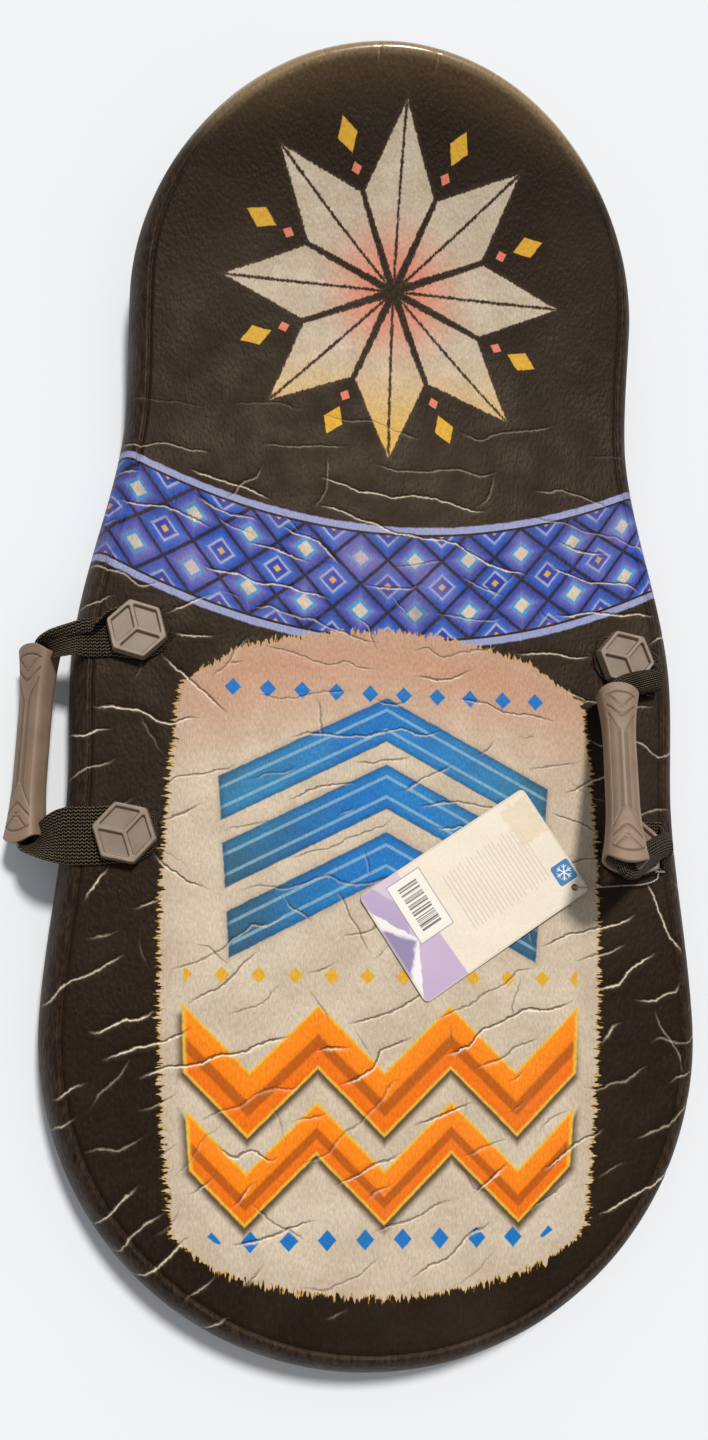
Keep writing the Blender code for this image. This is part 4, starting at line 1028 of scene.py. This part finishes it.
# hexagonal caps, in metres and degrees
# pocketDraft: a pocket's floor and mouth against its own size, and the floor's rounding against the mouth's
caps = {"corner": 0.038 / sqrt(3), "high": 0.0075, "draft": 0.0012, "round": 0.0026, "rib": 0.00125,
        "ribGrows": 1.15, "rim": 0.0024, "pocket": 0.0026, "pocketRound": 0.0012,
        "pocketDraft": (0.95, 1.04, 0.8), "edge": 0.00055, "flatFrom": 8e-6, "base": 0.0476,
        "boss": 0.0080, "bossWall": 0.0027, "bossFloor": 0.0100, "bossSteps": 40,
        "turns": {("left", 1): -14, ("left", -1): 50, ("right", 1): 50, ("right", -1): 20},
        # painted light: painted shade down in the pockets and a painted highlight on the tops of the rim and
        # ribs
        "light": (0.260, 0.196, 0.150), "dark": (0.215, 0.160, 0.122), "sunk": (0.10, 0.074, 0.056),
        "raisedHighlight": (0.38, 0.31, 0.25)}


def capPaint():
    c = caps
    paint = Paint("mouldedCap", Roughness=0.42, Specular_IOR_Level=0.5)
    spot = paint.where()
    fine, broad = paint.grain(spot, 1700, 2.0), paint.grain(spot, 130, 3.0)
    height = paint.parts(spot)[2] * 1000
    # painted shade down in the pockets and a painted highlight on the tops of the rim and ribs, over a broad
    # random tone
    paint.feed("Base Color", paint.layers(
        c["dark"], (broad.ramp(0.3, 0.7), c["light"]), (height.fade(6.6, 5.6, 0.22), c["sunk"]),
        (broad.ramp(0.55, 0.75) * height.ramp(6.9, 7.4) * 0.3, c["raisedHighlight"])))
    paint.feed("Roughness", fine.ramp(0.2, 0.8, 0.36, 0.52))
    paint.bump(fine * 0.035)
    return paint.finish


capPlastic = capPaint()


def roundedLoop(corners, radius, steps):  # a polygon's outline with round corners
    loop = []
    count = len(corners)
    for i, corner in enumerate(corners):
        before = (corners[i - 1] - corner).normalized()
        after = (corners[(i + 1) % count] - corner).normalized()
        half = before.angle(after) / 2
        centre = corner + (before + after).normalized() * radius / sin(half)
        start, end = corner + before * radius / np.tan(half), corner + after * radius / np.tan(half)
        first, last = start - centre, end - centre
        for k in range(steps + 1):
            arm = first.slerp(last, k / steps)
            loop.append(centre + arm.normalized() * radius)
    return loop


def prism(name, loops, finish):  # loops as (points, height), from low to high
    bm = bmesh.new()
    rings = [[bm.verts.new((p.x, p.y, height)) for p in loop] for loop, height in loops]
    for low, high in zip(rings, rings[1:]):
        for i in range(len(low)):
            j = (i + 1) % len(low)
            bm.faces.new((low[i], low[j], high[j], high[i]))
    bm.faces.new(rings[0][::-1])
    bm.faces.new(rings[-1])
    bmesh.ops.recalc_face_normals(bm, faces=bm.faces)
    mesh = bpy.data.meshes.new(name)
    bm.to_mesh(mesh)
    bm.free()
    mesh.materials.append(finish)
    return addPiece(name, mesh)


def settle(piece, *cutters):  # applies the modifiers and takes the cutters away
    bpy.context.view_layer.update()
    mesh = bpy.data.meshes.new_from_object(piece.evaluated_get(bpy.context.evaluated_depsgraph_get()))
    piece.modifiers.clear()
    piece.data = mesh
    for cutter in cutters:
        bpy.data.objects.remove(cutter)


def hexagon(radius):
    return [Vector((radius * cos(i * pi / 3), radius * sin(i * pi / 3))) for i in range(6)]


def capShape():
    c = caps
    top, turned = c["corner"] - c["draft"], 5
    body = prism("capShape", [(roundedLoop(hexagon(radius), c["round"], turned), height)
                              for radius, height in ((c["corner"], 0), (top, c["high"]))], capPlastic)
    inner = hexagon(top - c["rim"] / cos(pi / 6))
    narrow, broad, lowRound = c["pocketDraft"]
    cutters = []
    for i in (0, 2, 4):  # the three rhombic pockets between the ribs
        a, b, d = inner[i], inner[(i + 1) % 6], inner[(i + 2) % 6]
        start = b.normalized() * (c["rib"] / sin(pi / 3))
        ends = [end + (b - end).normalized() * c["rib"] * c["ribGrows"] for end in (a, d)]
        corners = [start, ends[0], b, ends[1]]
        middle = sum(corners, Vector((0, 0))) / 4
        loops = [(roundedLoop([middle + (corner - middle) * size for corner in corners], curve, 4), height)
                 for size, curve, height in ((narrow, c["pocketRound"] * lowRound, c["high"] - c["pocket"]),
                                             (broad, c["pocketRound"], c["high"] + 0.001))]
        cutter = prism(f"pocket{i}", loops, capPlastic)
        change = body.modifiers.new(f"pocket{i}", "BOOLEAN")
        change.operation, change.solver, change.object = "DIFFERENCE", "EXACT", cutter
        cutters.append(cutter)
    edges = body.modifiers.new("edges", "BEVEL")
    edges.width, edges.segments, edges.limit_method, edges.angle_limit = c["edge"], 3, "ANGLE", radians(40)
    settle(body, *cutters)
    body.data.shade_smooth()
    body.data.set_sharp_from_angle(angle=radians(50))
    for face in body.data.polygons:
        face.use_smooth = face.area < c["flatFrom"]
    return body


def bossPoints():  # hollow post under the cap, which takes the plug's stem
    c = caps
    outer, inner = c["boss"], c["boss"] - c["bossWall"]
    low, high = c["bossFloor"] - c["base"], 0.0004
    return [(outer, high), (outer, low + 0.0006), (outer - 0.0005, low), (inner + 0.0004, low),
            (inner, low + 0.0005), (inner, high)]


def makeCaps():
    shape, steps = capShape(), caps["bossSteps"]
    bm = bmesh.new()
    bm.from_mesh(shape.data)
    rings = [[bm.verts.new((*spot, height)) for spot in circle(radius, steps)]
             for radius, height in bossPoints()]
    for near, far in zip(rings, rings[1:]):
        for i in range(steps):
            face = bm.faces.new((near[i], near[(i + 1) % steps], far[(i + 1) % steps], far[i]))
            face.smooth = True
    bm.to_mesh(shape.data)
    bm.free()
    for (label, sign), angle in caps["turns"].items():
        word = "front" if sign > 0 else "rear"
        piece = addPiece(f"{label}{word.title()}HexCap", shape.data.copy())
        piece.location = (handles[label]["side"] * board["anchorX"],
                          straps["middleY"] + sign * straps["spacing"] / 2, caps["base"])
        piece.rotation_euler = (0, 0, radians(angle))
        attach(piece, "sled")
        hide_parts(f"{label}_{word}_cap")
    bpy.data.objects.remove(shape)


makeCaps()
print("caps made")


# swing tag, in metres; its print in millimetres
tag = {"long": 0.138, "wide": 0.083, "thick": 0.0006, "corner": 0.004, "hole": 0.0025, "holeSteps": 32,
       "holeAt": (0.061, -0.0345), "seat": (0.0613, -0.158), "heading": radians(34), "tilt": radians(1.6),
       "curl": 0.0012, "cuts": 14, "wave": 0.00012, "gap": 0.0003}
tagPrint = {"paper": ((0.76, 0.69, 0.58), (0.82, 0.76, 0.66)),
            "bandEnd": 36, "band": ((0.50, 0.40, 0.60), (0.62, 0.52, 0.68)),
            "hill": (50, 4, 0.55), "farHill": (46, 16, 0.5),  # from the middle, aside, steepness
            "hillTint": (0.26, 0.22, 0.40), "farTint": (0.42, 0.34, 0.55),
            "snowLine": 54, "snowTint": (0.82, 0.80, 0.84),
            "rulesAt": 18, "rulesHalf": (33, 29), "rulePitch": 1.5, "ruleTint": (0.30, 0.26, 0.24),
            "boxAt": (37, 14), "boxHalf": (13.5, 22), "frame": 0.6, "barsHalf": (7.5, 16.5),
            "frameTint": (0.30, 0.27, 0.33), "boxTint": (0.84, 0.81, 0.77), "barTint": (0.05, 0.045, 0.05),
            "squareAt": (60.5, 22.0), "squareHalf": 5.2, "squareRound": 2.2,
            "squareTint": (0.045, 0.20, 0.46), "flake": 0.75, "flakeTint": (0.80, 0.82, 0.84),
            "tornAt": (56, 22), "tornHalf": (11, 14), "torn": 9, "tornTint": (0.70, 0.60, 0.44),
            "wornFrom": (67.4, 40.0), "wornTint": (0.60, 0.52, 0.42)}


def tagPaint():
    p = tagPrint
    paint = Paint("printedCard", Roughness=0.5, Specular_IOR_Level=0.4)
    spot = paint.where()
    xm, ym, _ = paint.parts(spot)
    x, y = xm * 1000, ym * 1000
    pulp = paint.grain(spot, 700, 3.0, 0.6)

    def oblong(across, up, halves): return (abs(across) - halves[0]).most(abs(up) - halves[1])

    # lavender band with a plain mountain at the lower end
    def ridge(across, steep, fine): return abs(across) * steep + (paint.grain(spot, fine, 2.0) - 0.5) * 5

    out, aside, steep = p["hill"]
    peak = ridge(y + aside, steep, 120)
    hill = (x + out + peak).inside(0.6)
    out, aside, steep = p["farHill"]
    farHill = (x + out + ridge(y - aside, steep, 90)).inside(0.6)
    snow = hill * (x + p["snowLine"] + peak * 1.6).ramp(0, 4)
    band = paint.layers(p["band"][0], (y.ramp(-40, 40), p["band"][1]), (farHill * 0.9, p["farTint"]),
                        (hill, p["hillTint"]), (snow, p["snowTint"]))
    base = paint.layers(p["paper"][0], (pulp.ramp(0.3, 0.7), p["paper"][1]),
                        ((x + p["bandEnd"] + y * 0.05).inside(0.4), band))

    # faint rules, and a framed pale box with plain bars
    pitch, (wide, high) = p["rulePitch"], p["rulesHalf"]
    ends = paint.grain(paint.mapped(spot, stretch=(0.3, 0.0, 0.0)), 900, 1.0) * 16
    block = (abs(x - p["rulesAt"]) - wide).most(abs(y - 1) - high + ends)
    rule = ((x + 40).fold(pitch) / pitch).ramp(0.35, 0.15) * block.inside(0.3)
    across, up = x + p["boxAt"][0], y - p["boxAt"][1]
    box = oblong(across, up, p["boxHalf"])
    widths = paint.grain(paint.mapped(spot, stretch=(0.0, 1.0, 0.0)), 620, 2.0, 0.7)
    bars = (widths - 0.5).ramp(-0.01, 0.01) * oblong(across, up, p["barsHalf"]).inside(0.2)
    base = paint.layers(base, (rule * 0.38, p["ruleTint"]), (box.inside(0.25), p["frameTint"]),
                        ((box + p["frame"]).inside(0.25), p["boxTint"]), (bars * 0.85, p["barTint"]))

    # blue square with a snowflake near the tied corner
    bx, by = x - p["squareAt"][0], y + p["squareAt"][1]
    cornerX, cornerY = ((abs(place) - p["squareHalf"]).most(0) for place in (bx, by))
    square = (cornerX ** 2 + cornerY ** 2).math("SQRT") - p["squareRound"]
    radius = (bx * bx + by * by).math("SQRT")
    arm = by.math("ARCTAN2", bx).fold(pi / 6)
    along, off = (radius * arm.math(kind) * p["flake"] for kind in ("COSINE", "SINE"))
    twig = (abs(off - (along - 2.3)) - 0.26).most(along - 3.7).most(2.2 - along)
    flake = (off - 0.32).most(along - 4.2).least(twig)
    base = paint.layers(base, (square.inside(0.25), p["squareTint"]), (flake.inside(0.1), p["flakeTint"]))

    # torn paper where a label was pulled off, and worn edges
    fray = (paint.grain(spot, 260, 3.0) - 0.5) * p["torn"]
    (tornX, tornY), (halfX, halfY), (wornX, wornY) = p["tornAt"], p["tornHalf"], p["wornFrom"]
    torn = (abs(x - tornX) - halfX + fray).most(abs(y - tornY) - halfY + fray)
    worn = (abs(x) - wornX + fray * 0.05).most(abs(y) - wornY + fray * 0.05)
    paint.feed("Base Color", paint.layers(base, (torn.inside(0.4) * 0.7, p["tornTint"]),
                                          (worn.fade(-0.3, 0.6, 0.5), p["wornTint"])))
    paint.feed("Roughness", pulp.ramp(0.3, 0.7, 0.42, 0.58))
    paint.bump(pulp * 0.04 + torn.inside(0.6) * fray * 0.03)
    return paint.finish


def makeTag():
    t = tag
    halfX, halfY = t["long"] / 2, t["wide"] / 2
    outline = roundedLoop([Vector((halfX, halfY)), Vector((-halfX, halfY)), Vector((-halfX, -halfY)),
                           Vector((halfX, -halfY))], t["corner"], 6)
    card = prism("printedSwingTag", [(outline, 0.0), (outline, t["thick"])], tagPaint())
    ring = [Vector((t["holeAt"][0] + x, t["holeAt"][1] + y)) for x, y in circle(t["hole"], t["holeSteps"])]
    punch = prism("punch", [(ring, -0.01), (ring, 0.01)], card.data.materials[0])
    cut = card.modifiers.new("hole", "BOOLEAN")
    cut.operation, cut.solver, cut.object = "DIFFERENCE", "EXACT", punch
    settle(card, punch)
    bm = bmesh.new()
    bm.from_mesh(card.data)
    for axis, half in ((Vector((1, 0, 0)), halfX), (Vector((0, 1, 0)), halfY)):
        for k in range(-t["cuts"], t["cuts"] + 1):
            bmesh.ops.bisect_plane(bm, geom=bm.verts[:] + bm.edges[:] + bm.faces[:],
                                   plane_co=axis * (half * k / (t["cuts"] + 0.5)), plane_no=axis)
    for v in bm.verts:  # a slight bow, and a lifted corner
        u, w = v.co.x / halfX, v.co.y / halfY
        lifted = max(0, -u * 0.6 + w * 0.6) ** 2
        v.co.z += t["curl"] * (0.5 * (u * u) + 0.35 * lifted - 0.25 * w * w * (1 - u * u))
        v.co.z += t["wave"] * sin(u * 9 + w * 5)
    bm.to_mesh(card.data)
    bm.free()
    lift = halfX * sin(t["tilt"])
    card.matrix_world = Matrix.Translation((*t["seat"], board["thick"] + t["gap"] + lift)) @ Matrix.Rotation(
        t["heading"], 4, "Z") @ Matrix.Rotation(-t["tilt"], 4, "Y")
    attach(card, "sled")
    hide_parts("swing_tag")


makeTag()
print("tag made")


# finishes of the solids that stay as they are
def plainPaint(name, dark, light, rough, perMetre, rise, drag=1.0):
    paint = Paint(name)
    spot = paint.where()
    fine = paint.grain(paint.mapped(spot, stretch=(1, drag, 1)), perMetre, 3.0, 0.6)
    broad = paint.grain(spot, 22, 3.0)
    paint.feed("Base Color", paint.mix(broad.ramp(0.3, 0.7) * 0.6 + fine.ramp(0.3, 0.7) * 0.4, dark, light))
    paint.feed("Roughness", fine.ramp(0.2, 0.8, *rough))
    paint.bump(fine * rise)
    return paint


plain = {  # dark, light, roughness from and to, grains per metre, their height, how far they are drawn out
    "closedCellFoam": ((0.60, 0.59, 0.56), (0.72, 0.71, 0.69), (0.8, 0.95), 900, 0.25),
    "plugPlastic": ((0.022, 0.021, 0.02), (0.034, 0.033, 0.031), (0.42, 0.6), 1500, 0.04),
    "slickSheet": ((0.010, 0.010, 0.011), (0.018, 0.018, 0.019), (0.20, 0.46), 700, 0.07, 0.02),
}
foamPaint, plugPaint, slickPaint = (plainPaint(name, *look) for name, look in plain.items())
for node, piece in frame["nodes"].items():
    finish = {"foam_core": foamPaint, "slick_base": slickPaint, "tag_tie_bar": tieFilm}.get(
        node, plugPaint if "plug" in node else None)
    if finish:
        piece.data.materials.clear()
        piece.data.materials.append(finish.finish)
print("solids finished")

# floor, light and sky
studio = {"floor": (0.755, 0.805, 0.875), "mist": 1.01, "size": 6.0, "below": 0.0005,
          "key": 3.0, "keyFrom": (0.12, 0.50, 0.86), "keySoft": radians(9), "keyTint": (1.0, 0.94, 0.86),
          "sky": 0.36, "skyTint": (1.0, 0.99, 0.97, 1)}


def makeStudio():
    s = studio
    paint = Paint("paleFloor", Roughness=0.9)
    mist, pale = paint.grain(paint.where(), 3.0, 2.0), tuple(c * s["mist"] for c in s["floor"])
    paint.feed("Base Color", paint.mix(mist.ramp(0.3, 0.7), s["floor"], pale))
    size = s["size"]
    floor = meshPiece("floor", [(-size, -size, 0), (size, -size, 0), (size, size, 0), (-size, size, 0)],
                      [(0, 1, 2, 3)], paint.finish, smooth=False)
    floor.location.z = -s["below"]
    data = bpy.data.lights.new("keyLight", "SUN")
    data.energy, data.angle, data.color = s["key"], s["keySoft"], s["keyTint"]
    addPiece("keyLight", data).rotation_euler = Vector(s["keyFrom"]).to_track_quat("Z", "Y").to_euler()
    world = bpy.data.worlds.new("studioSky")
    world.use_nodes = True
    backdrop = world.node_tree.nodes["Background"]
    backdrop.inputs["Color"].default_value = s["skyTint"]
    backdrop.inputs["Strength"].default_value = s["sky"]
    bpy.context.scene.world = world
    bpy.context.scene.view_settings.view_transform = "Standard"


makeStudio()
print("studio made")
